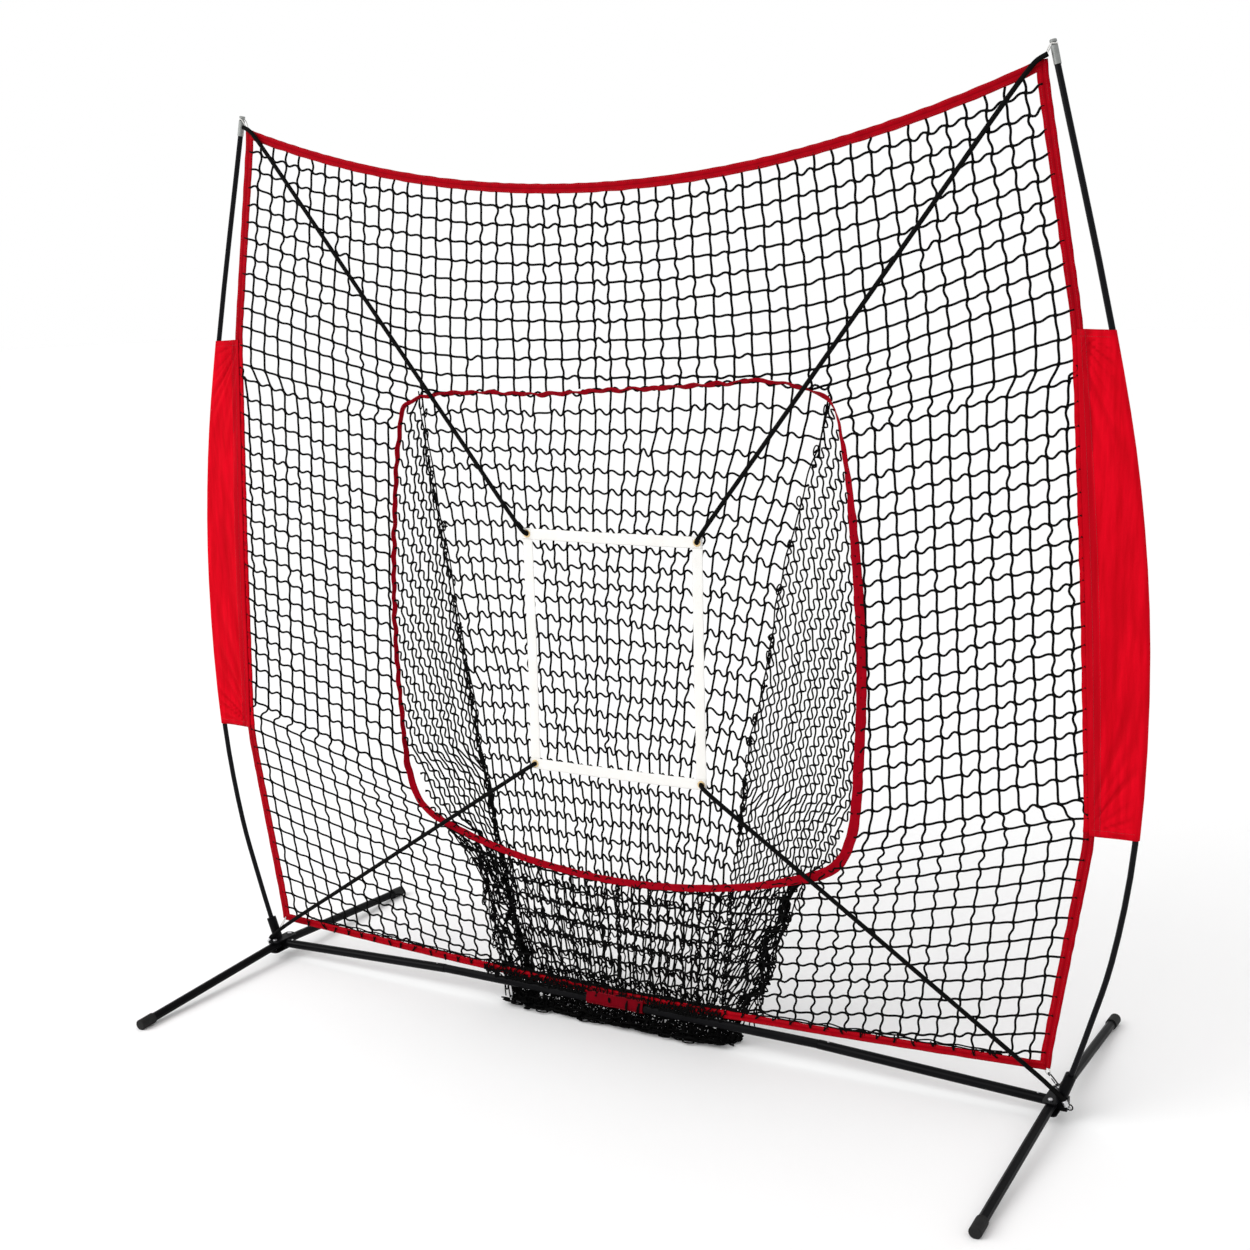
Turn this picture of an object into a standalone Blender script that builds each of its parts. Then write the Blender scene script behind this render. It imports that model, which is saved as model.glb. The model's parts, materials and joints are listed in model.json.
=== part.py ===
"""Pitching target net: a bow-pole practice net with a ball pocket and a strike-zone target.

Metres, +Z up. +X is the net's right side, -Y is the side that the ball is thrown from.
The origin is on the ground, under the middle of the crossbar.
"""

import math

import bmesh
import bpy
import numpy as np
from mathutils import Matrix, Vector

# ------------------------------------------------------------------ driving dimensions
GAP = 0.0004                 # air left between neighbouring pieces
SIDES = 12                   # sides of a turned piece

# Base frame
HUB_X = 1.065                # leg line, half the width of the base
HUB_Z = 0.0385               # height of the tube axes at the hubs
JOINT_X = 0.520              # where the three crossbar sections meet
JOINT_Z = 0.0595
OUTER_TUBE_R = 0.0112
OUTER_TUBE_BORE_R = 0.0095
CENTER_TUBE_R = 0.0105
SPIGOT_R = 0.0092            # swaged ends and hub spigots, which slide inside the outer tubes
SPIGOT_LENGTH = 0.050

PIVOT_Y = 0.030              # leg pivot, in front of and behind the crossbar
LEG_R = 0.0110
LEG_REACH = 0.540            # from the crossbar axis to the end of the cap
LEG_END_Z = 0.0120
LEG_BEND_Y = 0.055           # a leg is level inside the hub and slopes down from here
LEG_BEND_R = 0.008
LEG_START_Y = 0.0165
CAP_R = 0.0135
CAP_LENGTH = 0.045
CAP_END = 0.0050
CAP_EDGE = 0.002

PLATE_X = (1.049, 1.081)
PLATE_HALF_Y = 0.045
PLATE_THICK = 0.003
PLATE_INNER = 0.0120         # from the tube axis to a plate's inner face
PLATE_CORNER_R = 0.010
BLOCK_X = (1.0495, 1.0955)
BLOCK_HALF_Y = 0.0115
BLOCK_OVERLAP = 0.0015       # how far the block reaches into the plates
BOLT_R = 0.0030
BOLT_HOLE_R = 0.0033
BOLT_HEAD_R = 0.0055
BOLT_HEAD_H = 0.0035
BOLT_EDGE = 0.001
SOCKET_R = 0.0125
SOCKET_BORE_R = 0.0070
SOCKET_BASE = (1.0776, 0.044)  # x and z on the socket's axis
SOCKET_TOP = (1.1000, 0.1055)
SOCKET_FLOOR_Z = 0.0600
EYE_CENTER = (1.1012, -0.0092, 0.0360)
EYE_RING = (0.0062, 0.0016)    # radius of the ring and of its wire
LUG_CENTER = (1.0735, 0.0, 0.0745)
LUG_RING = (0.0055, 0.0015)
BUTTON_R = 0.0029
BUTTON_HOLE_R = 0.0033
BUTTON_PROUD = 0.0020
BUTTON_TRAVEL = 0.0040
BUTTON_ROOT = 0.0010         # how far a button reaches below the tube's axis
BUTTON_X = {"hub": 1.030, "mid": 0.545}

# Bow poles, as x and z along the pole's middle line
POLE_R = 0.0064
POLE_LINE = ((1.0838, 0.0610), (1.1000, 0.1055), (1.1380, 0.2285), (1.1780, 0.3735),
             (1.2180, 0.6335), (1.2270, 1.0335), (1.1990, 1.3635), (1.1430, 1.6705),
             (1.0265, 2.1675), (1.0180, 2.2065))
POLE_SPLIT_Z = 1.100
FERRULE_SCALE = 1.12         # the joint ferrule's radius, next to the pole's
FERRULE_LENGTH = 0.090
POLE_JOINT_CLEAR = 0.02      # the pole's curve points keep this far from the joint
POLE_BEND_END_Z = 2.19       # above this height a pole is straight, inside its tip
TIP_AIM_Z = 2.15
TIP_TOP = (1.0155, 2.2175)
TIP_LENGTH = 0.048
TIP_R = 0.0075
TIP_HEAD_R = 0.0072
TIP_GROOVE_R = 0.0050
TIP_GROOVE = (0.0058, 0.0102)  # where the groove lies, below the top of the tip
TIP_PLUG = 0.0145            # solid length of the tip, above its bore
TIP_EDGE = 0.0012

# Net face, in the plane of the poles
NET_HALF = 0.0015            # half of the netting's thickness
BINDING_HALF = 0.0013
SIDE_EDGE = ((1.000, 2.185), (1.085, 1.670), (1.115, 1.130), (1.135, 0.640), (1.050, 0.117))
BINDING_WIDTH = 0.016
TOP_MID_Z = 2.0055           # the top edge sags in a parabola between its corners
TOP_SAG = 0.180
TOP_WIDTH = 0.022
TOP_HALF_SPAN = 0.9835       # half length of the top and bottom bands, between the side bands
LOW_HALF_SPAN = 1.0325
BOTTOM_MID_Z = 0.0825        # the bottom edge is pulled down to the crossbar in the middle
BOTTOM_RISE = 0.034
BOTTOM_HALF_WIDTH = 0.009
WRAP_HALF_LENGTH = 0.075
WRAP_MIDDLE_X = -0.0125
WRAP_R = 0.0128
SLEEVE_Z = (0.640, 1.670)
SLEEVE_BORE_R = 0.0088
SLEEVE_R = 0.0106
SLEEVE_NECK = 0.020          # from the pole to where the channel closes into a flat panel
SLEEVE_NECK_HALF = 0.0024
SLEEVE_FLAT_HALF = 0.0013

# Pocket: mouth outline for x > 0, from the top middle round to the bottom middle
RIM_LINE = ((0.000, 1.549), (0.300, 1.549), (0.500, 1.545), (0.556, 1.520), (0.585, 1.420),
            (0.610, 1.220), (0.625, 0.980), (0.620, 0.760), (0.600, 0.560), (0.560, 0.488),
            (0.450, 0.440), (0.250, 0.393), (0.000, 0.373))
RIM_HALF_WIDTH = 0.006
# Back panel of the pocket: height, depth behind the net face, half width
BACK_LINE = ((1.533, 0.0055, 0.532), (1.350, 0.018, 0.498), (1.150, 0.030, 0.456),
             (0.950, 0.042, 0.424), (0.700, 0.056, 0.377), (0.450, 0.070, 0.342),
             (0.250, 0.084, 0.306), (0.100, 0.092, 0.282), (0.040, 0.088, 0.272))
# Edge of the pocket's lower front, where a side panel starts: height, half width
FRONT_EDGE = ((0.040, 0.322), (0.100, 0.345), (0.250, 0.405), (0.440, 0.482))
FRONT_Y = 0.0165             # the pocket's lower front hangs just behind the crossbar
FRONT_HALF = 0.470
FRONT_LOW_HALF = 0.312
FRONT_TOP_Z = 0.450          # above this height the sides start at the mouth itself
SIDE_HEIGHTS = (1.500, 1.420, 1.220, 0.980, 0.760, 0.560, 0.500, 0.440, 0.250, 0.100, 0.040)
POCKET_THICK = 0.003
RIM_HALF_THICK = 0.0015
PILE = ((-0.310, 0.310), (-0.012, 0.096), (0.0035, 0.034))  # netting gathered on the ground

# Strike-zone target
TARGET_X = 0.012             # the elastic cords let it hang a little off centre
GROMMET_DX = 0.2255
GROMMET_Z = (0.6455, 1.2085)
STRIP_HALF = 0.013
STRIP_OVERHANG = 0.013
STRIP_THICK = 0.0016
STRIP_Y = {"vertical": -0.0100, "horizontal": -0.0120}
GROMMET_BACK_Y = -0.0078
GROMMET_LENGTH = 0.0064
GROMMET_R = 0.0095
GROMMET_BARREL_R = 0.0063
GROMMET_HOLE_R = 0.0055
GROMMET_FLANGE = 0.0011
GROMMET_ROLL = 0.0008
STRIP_HOLE_R = 0.0068
CORD_R = 0.00475
# The last stretch of each cord on the right: down to a hub's eye, and up to a pole tip
CORD_ENDS = (((1.000, -0.0190, 0.1220), (1.050, -0.0187, 0.0870), (1.0725, -0.0185, 0.0690),
              (1.0870, -0.0185, 0.0580), (1.0955, -0.0185, 0.0440)),
             ((0.930, -0.0100, 2.1130), (0.965, -0.0097, 2.1560), (0.988, -0.0094, 2.1800),
              (1.0085, -0.0088, 2.1905)))
TIE_R = 0.0012
THIN_TIE_R = 0.0010
TOP_TIE_LOOP_R = 0.0071
HOOK_R = 0.0016
HOOK_UP = (-0.643, 0.0, 0.766)  # from the hub's lug towards the net's corner
HOOK_EYE = (0.0305, 0.0038)  # along the hook to its eye's middle, and the eye's radius
HOOK_SIDE = 0.0045           # half width of the hook's loop
GATE_R = 0.0013
GATE_PIVOT = 0.0215          # distances along the hook from the lug
GATE_ENDS = (0.0222, 0.0102)

COLORS = {
    "frame": ((0.012, 0.012, 0.013), 0.42, 0.0),
    "pole": ((0.010, 0.010, 0.011), 0.30, 0.0),
    "bolt": ((0.55, 0.55, 0.56), 0.35, 1.0),
    "tip": ((0.20, 0.21, 0.20), 0.40, 1.0),
    "cap": ((0.015, 0.015, 0.015), 0.75, 0.0),
    "fabric": ((0.70, 0.005, 0.020), 0.80, 0.0),
    "binding": ((0.42, 0.003, 0.012), 0.85, 0.0),
    "netting": ((0.012, 0.012, 0.012), 0.85, 0.0),
    "strip": ((0.88, 0.87, 0.84), 0.55, 0.0),
    "grommet": ((0.72, 0.52, 0.26), 0.30, 1.0),
    "cord": ((0.010, 0.010, 0.010), 0.80, 0.0),
    "tie": ((0.85, 0.84, 0.80), 0.80, 0.0),
    "hook": ((0.015, 0.015, 0.016), 0.40, 0.0),
}


# ------------------------------------------------------------------ helpers
def clear_scene():
    for obj in list(bpy.data.objects):
        bpy.data.objects.remove(obj, do_unlink=True)


def new_collection(name):
    collection = bpy.data.collections.new(name)
    bpy.context.scene.collection.children.link(collection)
    return collection


def material(kind):
    """One Principled material for each kind of piece, made once."""
    found = bpy.data.materials.get(kind)
    if found:
        return found
    color, roughness, metallic = COLORS[kind]
    made = bpy.data.materials.new(kind)
    made.use_nodes = True
    shader = made.node_tree.nodes["Principled BSDF"]
    shader.inputs["Base Color"].default_value = (*color, 1.0)
    shader.inputs["Roughness"].default_value = roughness
    shader.inputs["Metallic"].default_value = metallic
    return made


def add_object(name, data, kind=None, origin=(0, 0, 0)):
    """Link data as an object; without a kind it is a cutter or a guide."""
    obj = bpy.data.objects.new(name, data)
    obj.location = origin
    (PARTS if kind else CUTTERS).objects.link(obj)
    if kind:
        data.materials.append(material(kind))
    else:
        obj.hide_render = True
        obj.display_type = "WIRE"
    return obj


def smooth_line(points, per_span=5, closed=False):
    """Points along a centripetal Catmull-Rom curve through the given points."""
    p = [Vector(q) for q in points]
    if closed:
        ends = [p[-1]] + p + [p[0], p[1]]
    else:
        ends = [2 * p[0] - p[1]] + p + [2 * p[-1] - p[-2]]
    line = []
    for a, b, c, d in zip(ends, ends[1:], ends[2:], ends[3:]):
        t1 = (b - a).length ** 0.5
        t2 = t1 + (c - b).length ** 0.5
        t3 = t2 + (d - c).length ** 0.5
        for k in range(per_span):
            t = t1 + (t2 - t1) * k / per_span
            ab = a.lerp(b, t / t1)
            bc = b.lerp(c, (t - t1) / (t2 - t1))
            cd = c.lerp(d, (t - t2) / (t3 - t2))
            abc = ab.lerp(bc, t / t2)
            bcd = bc.lerp(cd, (t - t1) / (t3 - t1))
            line.append(abc.lerp(bcd, (t - t1) / (t2 - t1)))
    if not closed:
        line.append(p[-1])
    return line


def tube(name, points, radius, kind, origin=(0, 0, 0), scales=None, resolution=3):
    """A round bar along points, with closed ends; scales vary its radius."""
    curve = bpy.data.curves.new(name, "CURVE")
    curve.dimensions = "3D"
    curve.bevel_depth = radius
    curve.bevel_resolution = resolution
    curve.use_fill_caps = True
    spline = curve.splines.new("POLY")
    spline.points.add(len(points) - 1)
    base = Vector(origin)
    for i, (spot, point) in enumerate(zip(spline.points, points)):
        spot.co = (*(Vector(point) - base), 1.0)
        spot.radius = scales[i] if scales else 1.0
    return add_object(name, curve, kind, origin)


def flat_piece(name, outlines, half_thick, kind, y=0.0):
    """A flat sheet in the XZ plane from closed outlines of x and z; later ones are holes."""
    curve = bpy.data.curves.new(name, "CURVE")
    curve.dimensions = "2D"
    curve.fill_mode = "BOTH"
    curve.extrude = half_thick
    for outline in outlines:
        spline = curve.splines.new("POLY")
        spline.points.add(len(outline) - 1)
        spline.use_cyclic_u = True
        for spot, (x, z) in zip(spline.points, outline):
            spot.co = (x, z, 0.0, 1.0)
    obj = add_object(name, curve, kind, (0.0, y, 0.0))
    obj.rotation_euler = (math.pi / 2, 0.0, 0.0)
    return obj


def as_mesh(obj):
    """Turn a curve object into a mesh object with welded caps, ready to be cut."""
    bpy.context.view_layer.update()
    graph = bpy.context.evaluated_depsgraph_get()
    mesh = bpy.data.meshes.new_from_object(obj.evaluated_get(graph))
    welder = bmesh.new()
    welder.from_mesh(mesh)
    bmesh.ops.remove_doubles(welder, verts=welder.verts, dist=1e-6)
    bmesh.ops.recalc_face_normals(welder, faces=welder.faces)
    welder.to_mesh(mesh)
    welder.free()
    name, place, group = obj.name, obj.matrix_world.copy(), obj.users_collection[0]
    bpy.data.objects.remove(obj, do_unlink=True)
    mesh.name = name
    made = bpy.data.objects.new(name, mesh)
    made.matrix_world = place
    group.objects.link(made)
    return made


def turned(name, profile, kind=None, base=(0, 0, 0), along=(0, 0, 1), closed=False, sides=SIDES):
    """A turned piece: a profile of radius and height spun about an axis from base."""
    mesh = bpy.data.meshes.new(name)
    count = len(profile)
    edges = [(i, i + 1) for i in range(count - 1)]
    if closed:
        edges.append((count - 1, 0))
    mesh.from_pydata([(r, 0.0, h) for r, h in profile], edges, [])
    obj = add_object(name, mesh, kind, base)
    obj.rotation_euler = Vector(along).to_track_quat("Z", "Y").to_euler()
    spin = obj.modifiers.new("Spin", "SCREW")
    spin.steps = sides
    spin.render_steps = sides
    spin.use_merge_vertices = True
    spin.merge_threshold = 1e-5
    return obj


def rod(name, base, along, length, radius, kind=None, sides=SIDES):
    """A plain cylinder from base, which is its own origin."""
    profile = ((0.0, length), (radius, length), (radius, 0.0), (0.0, 0.0))
    return turned(name, profile, kind, base, along, sides=sides)


def box(name, low, high, kind=None):
    mesh = bpy.data.meshes.new(name)
    cube = bmesh.new()
    size = Vector(high) - Vector(low)
    middle = (Vector(high) + Vector(low)) / 2
    place = Matrix.Translation(middle) @ Matrix.Diagonal((*size, 1.0))
    bmesh.ops.create_cube(cube, size=1.0, matrix=place)
    cube.to_mesh(mesh)
    cube.free()
    return add_object(name, mesh, kind)


def ring(name, center, major, minor):
    """A guide torus whose hole faces Y."""
    bpy.ops.mesh.primitive_torus_add(
        location=center, rotation=(math.pi / 2, 0.0, 0.0),
        major_radius=major, minor_radius=minor, major_segments=12, minor_segments=6)
    obj = bpy.context.object
    obj.name = name
    for group in obj.users_collection:
        group.objects.unlink(obj)
    CUTTERS.objects.link(obj)
    obj.hide_render = True
    obj.display_type = "WIRE"
    return obj


def combine(obj, other, operation):
    change = obj.modifiers.new(operation.title(), "BOOLEAN")
    change.operation = operation
    change.solver = "EXACT"
    change.object = other


def skin(name, rows, thickness, kind):
    """A thin shell over a grid of points, one row of points for each station."""
    mesh = bpy.data.meshes.new(name)
    grid = bmesh.new()
    verts = [[grid.verts.new(point) for point in row] for row in rows]
    for low, high in zip(verts, verts[1:]):
        for i in range(len(low) - 1):
            grid.faces.new((low[i], low[i + 1], high[i + 1], high[i]))
    grid.to_mesh(mesh)
    grid.free()
    obj = add_object(name, mesh, kind)
    shell = obj.modifiers.new("Thickness", "SOLIDIFY")
    shell.thickness = thickness
    shell.offset = 0.0
    return obj


def hollow_loft(name, outer, inner, kind):
    """A loft between outer sections with a lofted bore between inner sections."""
    mesh = bpy.data.meshes.new(name)
    form = bmesh.new()
    skins = [[[form.verts.new(p) for p in row] for row in rows] for rows in (outer, inner)]
    count = len(outer[0])
    for rows in skins:
        for low, high in zip(rows, rows[1:]):
            for i in range(count):
                j = (i + 1) % count
                form.faces.new((low[i], low[j], high[j], high[i]))
    for end in (0, -1):
        for i in range(count):
            j = (i + 1) % count
            form.faces.new((skins[0][end][i], skins[0][end][j],
                            skins[1][end][j], skins[1][end][i]))
    bmesh.ops.recalc_face_normals(form, faces=form.faces)
    form.to_mesh(mesh)
    form.free()
    return add_object(name, mesh, kind)


def side_name(side):
    return "right" if side > 0 else "left"


# ------------------------------------------------------------------ shared outlines
POLE = smooth_line([(x, 0.0, z) for x, z in POLE_LINE], 4)


def pole_x(z):
    return float(np.interp(z, [p.z for p in POLE], [p.x for p in POLE]))


def edge_x(z):
    """Outer edge of the net at height z."""
    rising = SIDE_EDGE[::-1]
    return float(np.interp(z, [p[1] for p in rising], [p[0] for p in rising]))


def top_z(x):
    return TOP_MID_Z + TOP_SAG * x * x


def bottom_z(x):
    """Middle line of the bottom band."""
    return BOTTOM_MID_Z + BOTTOM_RISE * (abs(x) / edge_x(0.12)) ** 1.5


def stations(half, count):
    """Evenly spaced places from -half to half."""
    return np.linspace(-half, half, count)


def tube_z(x):
    """Height of the crossbar's axis."""
    slope = (HUB_Z - JOINT_Z) / (HUB_X - JOINT_X)
    return JOINT_Z + slope * max(abs(x) - JOINT_X, 0.0)


def rim_outline(offset=0.0):
    """Closed outline of the pocket's mouth, moved outward by offset."""
    half = list(RIM_LINE)
    mirrored = [(-x, z) for x, z in half[-2:0:-1]]
    line = [Vector(p) for p in smooth_line([(x, z, 0) for x, z in half + mirrored], 2, True)]
    moved = []
    for before, here, after in zip(line[-1:] + line[:-1], line, line[1:] + line[:1]):
        run = (after - before).normalized()
        moved.append((here.x - run.y * offset, here.y + run.x * offset))
    return moved


def back_at(z):
    """Depth and half width of the pocket's back panel at height z."""
    rising = BACK_LINE[::-1]
    heights = [p[0] for p in rising]
    return (float(np.interp(z, heights, [p[1] for p in rising])),
            float(np.interp(z, heights, [p[2] for p in rising])))


def rim_x(z):
    """Half width of the pocket's mouth at height z."""
    side = [p for p in RIM_LINE if p[0] >= 0.54][::-1]
    return float(np.interp(z, [p[1] for p in side], [p[0] for p in side]))


# ------------------------------------------------------------------ base frame
def make_crossbar():
    ends = SPIGOT_LENGTH + JOINT_X
    step = 0.0005
    xs = [-ends, -JOINT_X - step, -JOINT_X, -0.45, 0.0, 0.45, JOINT_X, JOINT_X + step, ends]
    thin = SPIGOT_R / CENTER_TUBE_R
    scales = [thin, thin, 1, 1, 1, 1, 1, thin, thin]
    bar = as_mesh(tube("crossbar_center", [(x, 0, tube_z(x)) for x in xs],
                       CENTER_TUBE_R, "frame", scales=scales, resolution=4))
    for side in (-1, 1):
        combine(bar, button_well(side, "mid"), "DIFFERENCE")
        inner = Vector((side * (JOINT_X + 0.001), 0, tube_z(JOINT_X + 0.001)))
        outer = Vector((side * (PLATE_X[0] - 0.0003), 0, tube_z(PLATE_X[0])))
        length = (outer - inner).length
        profile = ((OUTER_TUBE_R, length), (OUTER_TUBE_R, 0.0),
                   (OUTER_TUBE_BORE_R, 0.0), (OUTER_TUBE_BORE_R, length))
        sleeve = turned("crossbar_" + side_name(side), profile, "frame", inner,
                        outer - inner, closed=True, sides=16)
        for place in ("hub", "mid"):
            combine(sleeve, button_slot(side, place), "DIFFERENCE")


def button_well(side, place):
    """Blind hole in a spigot, deep enough for the button's travel."""
    x = BUTTON_X[place]
    low = tube_z(x) - BUTTON_TRAVEL - 2 * BUTTON_ROOT
    return rod(f"well_{place}_{side_name(side)}", (side * x, 0, low), (0, 0, 1), 0.03,
               BUTTON_HOLE_R)


def button_slot(side, place):
    """Hole in the top of an outer tube."""
    x = BUTTON_X[place]
    return rod(f"slot_{place}_{side_name(side)}", (side * x, 0, tube_z(x)), (0, 0, 1), 0.03,
               BUTTON_HOLE_R)


def make_button(side, place):
    x = BUTTON_X[place]
    height = OUTER_TUBE_R + BUTTON_PROUD
    profile = ((0.0, height), (BUTTON_R * 0.6, height - 0.0003), (BUTTON_R, height - 0.0012),
               (BUTTON_R, -BUTTON_ROOT), (0.0, -BUTTON_ROOT))
    turned(f"snap_button_{place}_{side_name(side)}", profile, "bolt",
           (side * x, 0, tube_z(x)))


def make_hub(side):
    """Pivot plates, centre block, pole socket, spigot, cord eye and tie lug as one weldment."""
    name = side_name(side)

    def span(low_x, high_x):
        return (low_x, high_x) if side > 0 else (-high_x, -low_x)

    bx = span(*BLOCK_X)
    px = span(*PLATE_X)
    inner, outer = PLATE_INNER, PLATE_INNER + PLATE_THICK
    hub = box("hub_" + name, (bx[0], -BLOCK_HALF_Y, HUB_Z - inner - BLOCK_OVERLAP),
              (bx[1], BLOCK_HALF_Y, HUB_Z + inner + BLOCK_OVERLAP), "frame")
    for tag, low, high in (("top", inner, outer), ("bottom", -outer, -inner)):
        plate = box(f"plate_{tag}_{name}", (px[0], -PLATE_HALF_Y, HUB_Z + low),
                    (px[1], PLATE_HALF_Y, HUB_Z + high))
        round_corners(plate)
        combine(hub, plate, "UNION")
    base = Vector((side * SOCKET_BASE[0], 0, SOCKET_BASE[1]))
    top = Vector((side * SOCKET_TOP[0], 0, SOCKET_TOP[1]))
    combine(hub, rod("socket_" + name, base, top - base, (top - base).length, SOCKET_R,
                     sides=16), "UNION")
    root = Vector((side * (BLOCK_X[0] + 0.004), 0, tube_z(BLOCK_X[0] + 0.004)))
    tip = Vector((side * (BLOCK_X[0] - SPIGOT_LENGTH), 0, tube_z(BLOCK_X[0] - SPIGOT_LENGTH)))
    combine(hub, rod("spigot_" + name, root, tip - root, (tip - root).length, SPIGOT_R),
            "UNION")
    eye = (side * EYE_CENTER[0], EYE_CENTER[1], EYE_CENTER[2])
    combine(hub, ring("eye_" + name, eye, *EYE_RING), "UNION")
    lug = (side * LUG_CENTER[0], LUG_CENTER[1], LUG_CENTER[2])
    combine(hub, ring("lug_" + name, lug, *LUG_RING), "UNION")
    aim = (top - base).normalized()
    floor = base + aim * (SOCKET_FLOOR_Z - base.z) / aim.z
    combine(hub, rod("socket_bore_" + name, floor, aim, 0.08, SOCKET_BORE_R), "DIFFERENCE")
    combine(hub, button_well(side, "hub"), "DIFFERENCE")
    for y in (-PIVOT_Y, PIVOT_Y):
        tag = "front" if y < 0 else "rear"
        hole = rod(f"bolt_hole_{tag}_{name}", (side * HUB_X, y, 0.01), (0, 0, 1), 0.06,
                   BOLT_HOLE_R)
        combine(hub, hole, "DIFFERENCE")


def round_corners(plate):
    """Round a plate's four upright corners."""
    form = bmesh.new()
    form.from_mesh(plate.data)
    upright = [e for e in form.edges if abs(e.verts[0].co.z - e.verts[1].co.z) > 1e-4]
    bmesh.ops.bevel(form, geom=upright, offset=PLATE_CORNER_R, segments=3, profile=0.5, affect="EDGES")
    form.to_mesh(plate.data)
    form.free()


def make_leg(side, front):
    """One leg, its rubber cap and its pivot bolt. The leg's origin is on the pivot."""
    toward = -1 if front else 1
    name = f"{'front' if front else 'rear'}_leg_{side_name(side)}"
    x = side * HUB_X
    pivot = (x, toward * PIVOT_Y, HUB_Z)
    bend = Vector((x, toward * LEG_BEND_Y, HUB_Z))
    end = Vector((x, toward * LEG_REACH, LEG_END_Z))
    aim = (end - bend).normalized()
    tube_end = end - aim * (CAP_END + GAP)
    points = [(x, toward * LEG_START_Y, HUB_Z), (x, toward * (LEG_BEND_Y - LEG_BEND_R), HUB_Z),
              bend + aim * LEG_BEND_R, bend.lerp(tube_end, 0.4), tube_end]
    leg = as_mesh(tube(name, points, LEG_R, "frame", origin=pivot))
    hole = rod("pivot_hole_" + name, (x, pivot[1], HUB_Z - 0.02), (0, 0, 1), 0.04, BOLT_HOLE_R)
    combine(leg, hole, "DIFFERENCE")

    bore = LEG_R + GAP
    edge = CAP_EDGE
    profile = ((0.0, CAP_LENGTH), (CAP_R - edge, CAP_LENGTH), (CAP_R, CAP_LENGTH - edge),
               (CAP_R, 0.0), (bore, 0.0), (bore, CAP_LENGTH - CAP_END), (0.0, CAP_LENGTH - CAP_END))
    cap = turned("cap_" + name, profile, "cap", end - aim * CAP_LENGTH, aim, sides=16)
    low = (x - 0.05, min(0, toward) - 0.05, -0.05)
    high = (x + 0.05, max(0, toward) + 0.05, 0.0)
    combine(cap, box("ground_" + name, low, high), "DIFFERENCE")

    grip = PLATE_INNER + PLATE_THICK + 0.0003
    top, under = HUB_Z + grip, HUB_Z - grip
    profile = ((0.0, top + BOLT_HEAD_H), (BOLT_HEAD_R - BOLT_EDGE, top + BOLT_HEAD_H),
               (BOLT_HEAD_R, top + BOLT_HEAD_H - BOLT_EDGE), (BOLT_HEAD_R, top), (BOLT_R, top),
               (BOLT_R, under), (BOLT_HEAD_R, under), (BOLT_HEAD_R, under - BOLT_HEAD_H),
               (0.0, under - BOLT_HEAD_H))
    turned("pivot_bolt_" + name, profile, "bolt", (pivot[0], pivot[1], 0.0))


# ------------------------------------------------------------------ bow poles
def make_pole(side):
    name = side_name(side)
    line = [Vector((side * p.x, 0, p.z)) for p in POLE]
    split = Vector((side * pole_x(POLE_SPLIT_Z), 0, POLE_SPLIT_Z))
    neck_z = POLE_SPLIT_Z - FERRULE_LENGTH
    neck = Vector((side * pole_x(neck_z), 0, neck_z))
    lower = [p for p in line if p.z < neck_z - POLE_JOINT_CLEAR]
    points = lower + [neck, neck + Vector((0, 0, 0.0005)), split]
    scales = [1.0] * (len(lower) + 1) + [FERRULE_SCALE] * 2
    tube("pole_lower_" + name, points, POLE_R, "pole", scales=scales)
    start = split + Vector((0, 0, GAP))
    upper = [start]
    upper += [p for p in line if POLE_SPLIT_Z + POLE_JOINT_CLEAR < p.z < POLE_BEND_END_Z]
    top = Vector((side * TIP_TOP[0], 0, TIP_TOP[1]))
    aim = (top - Vector((side * pole_x(TIP_AIM_Z), 0, TIP_AIM_Z))).normalized()
    tube("pole_upper_" + name, upper + [top - aim * (TIP_PLUG + 0.001)], POLE_R, "pole")

    bore = POLE_R + GAP
    h = TIP_LENGTH
    high, low = h - TIP_GROOVE[0], h - TIP_GROOVE[1]
    profile = ((0.0, h), (TIP_HEAD_R - TIP_EDGE, h), (TIP_HEAD_R, h - TIP_EDGE),
               (TIP_HEAD_R, high + 0.0003), (TIP_GROOVE_R, high), (TIP_GROOVE_R, low),
               (TIP_R, low - 0.0018), (TIP_R, 0.0), (bore, 0.0), (bore, h - TIP_PLUG),
               (0.0, h - TIP_PLUG))
    turned("pole_tip_" + name, profile, "tip", top - aim * h, aim, sides=16)


# ------------------------------------------------------------------ net face
def make_net_face():
    inset = BINDING_WIDTH + GAP
    top = [(x, top_z(x) - TOP_WIDTH - GAP) for x in stations(TOP_HALF_SPAN, 17)]
    right = [(edge_x(z) - inset, z) for z in (2.10, 1.67, 1.13, 0.64, 0.140)]
    bottom = [(x, bottom_z(x) + BOTTOM_HALF_WIDTH + GAP) for x in stations(LOW_HALF_SPAN, 13)]
    bottom.reverse()
    left = [(-x, z) for x, z in right[::-1]]
    hole = rim_outline(RIM_HALF_WIDTH + GAP)
    flat_piece("net_face", [top + right + bottom + left, hole], NET_HALF, "netting")


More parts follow.
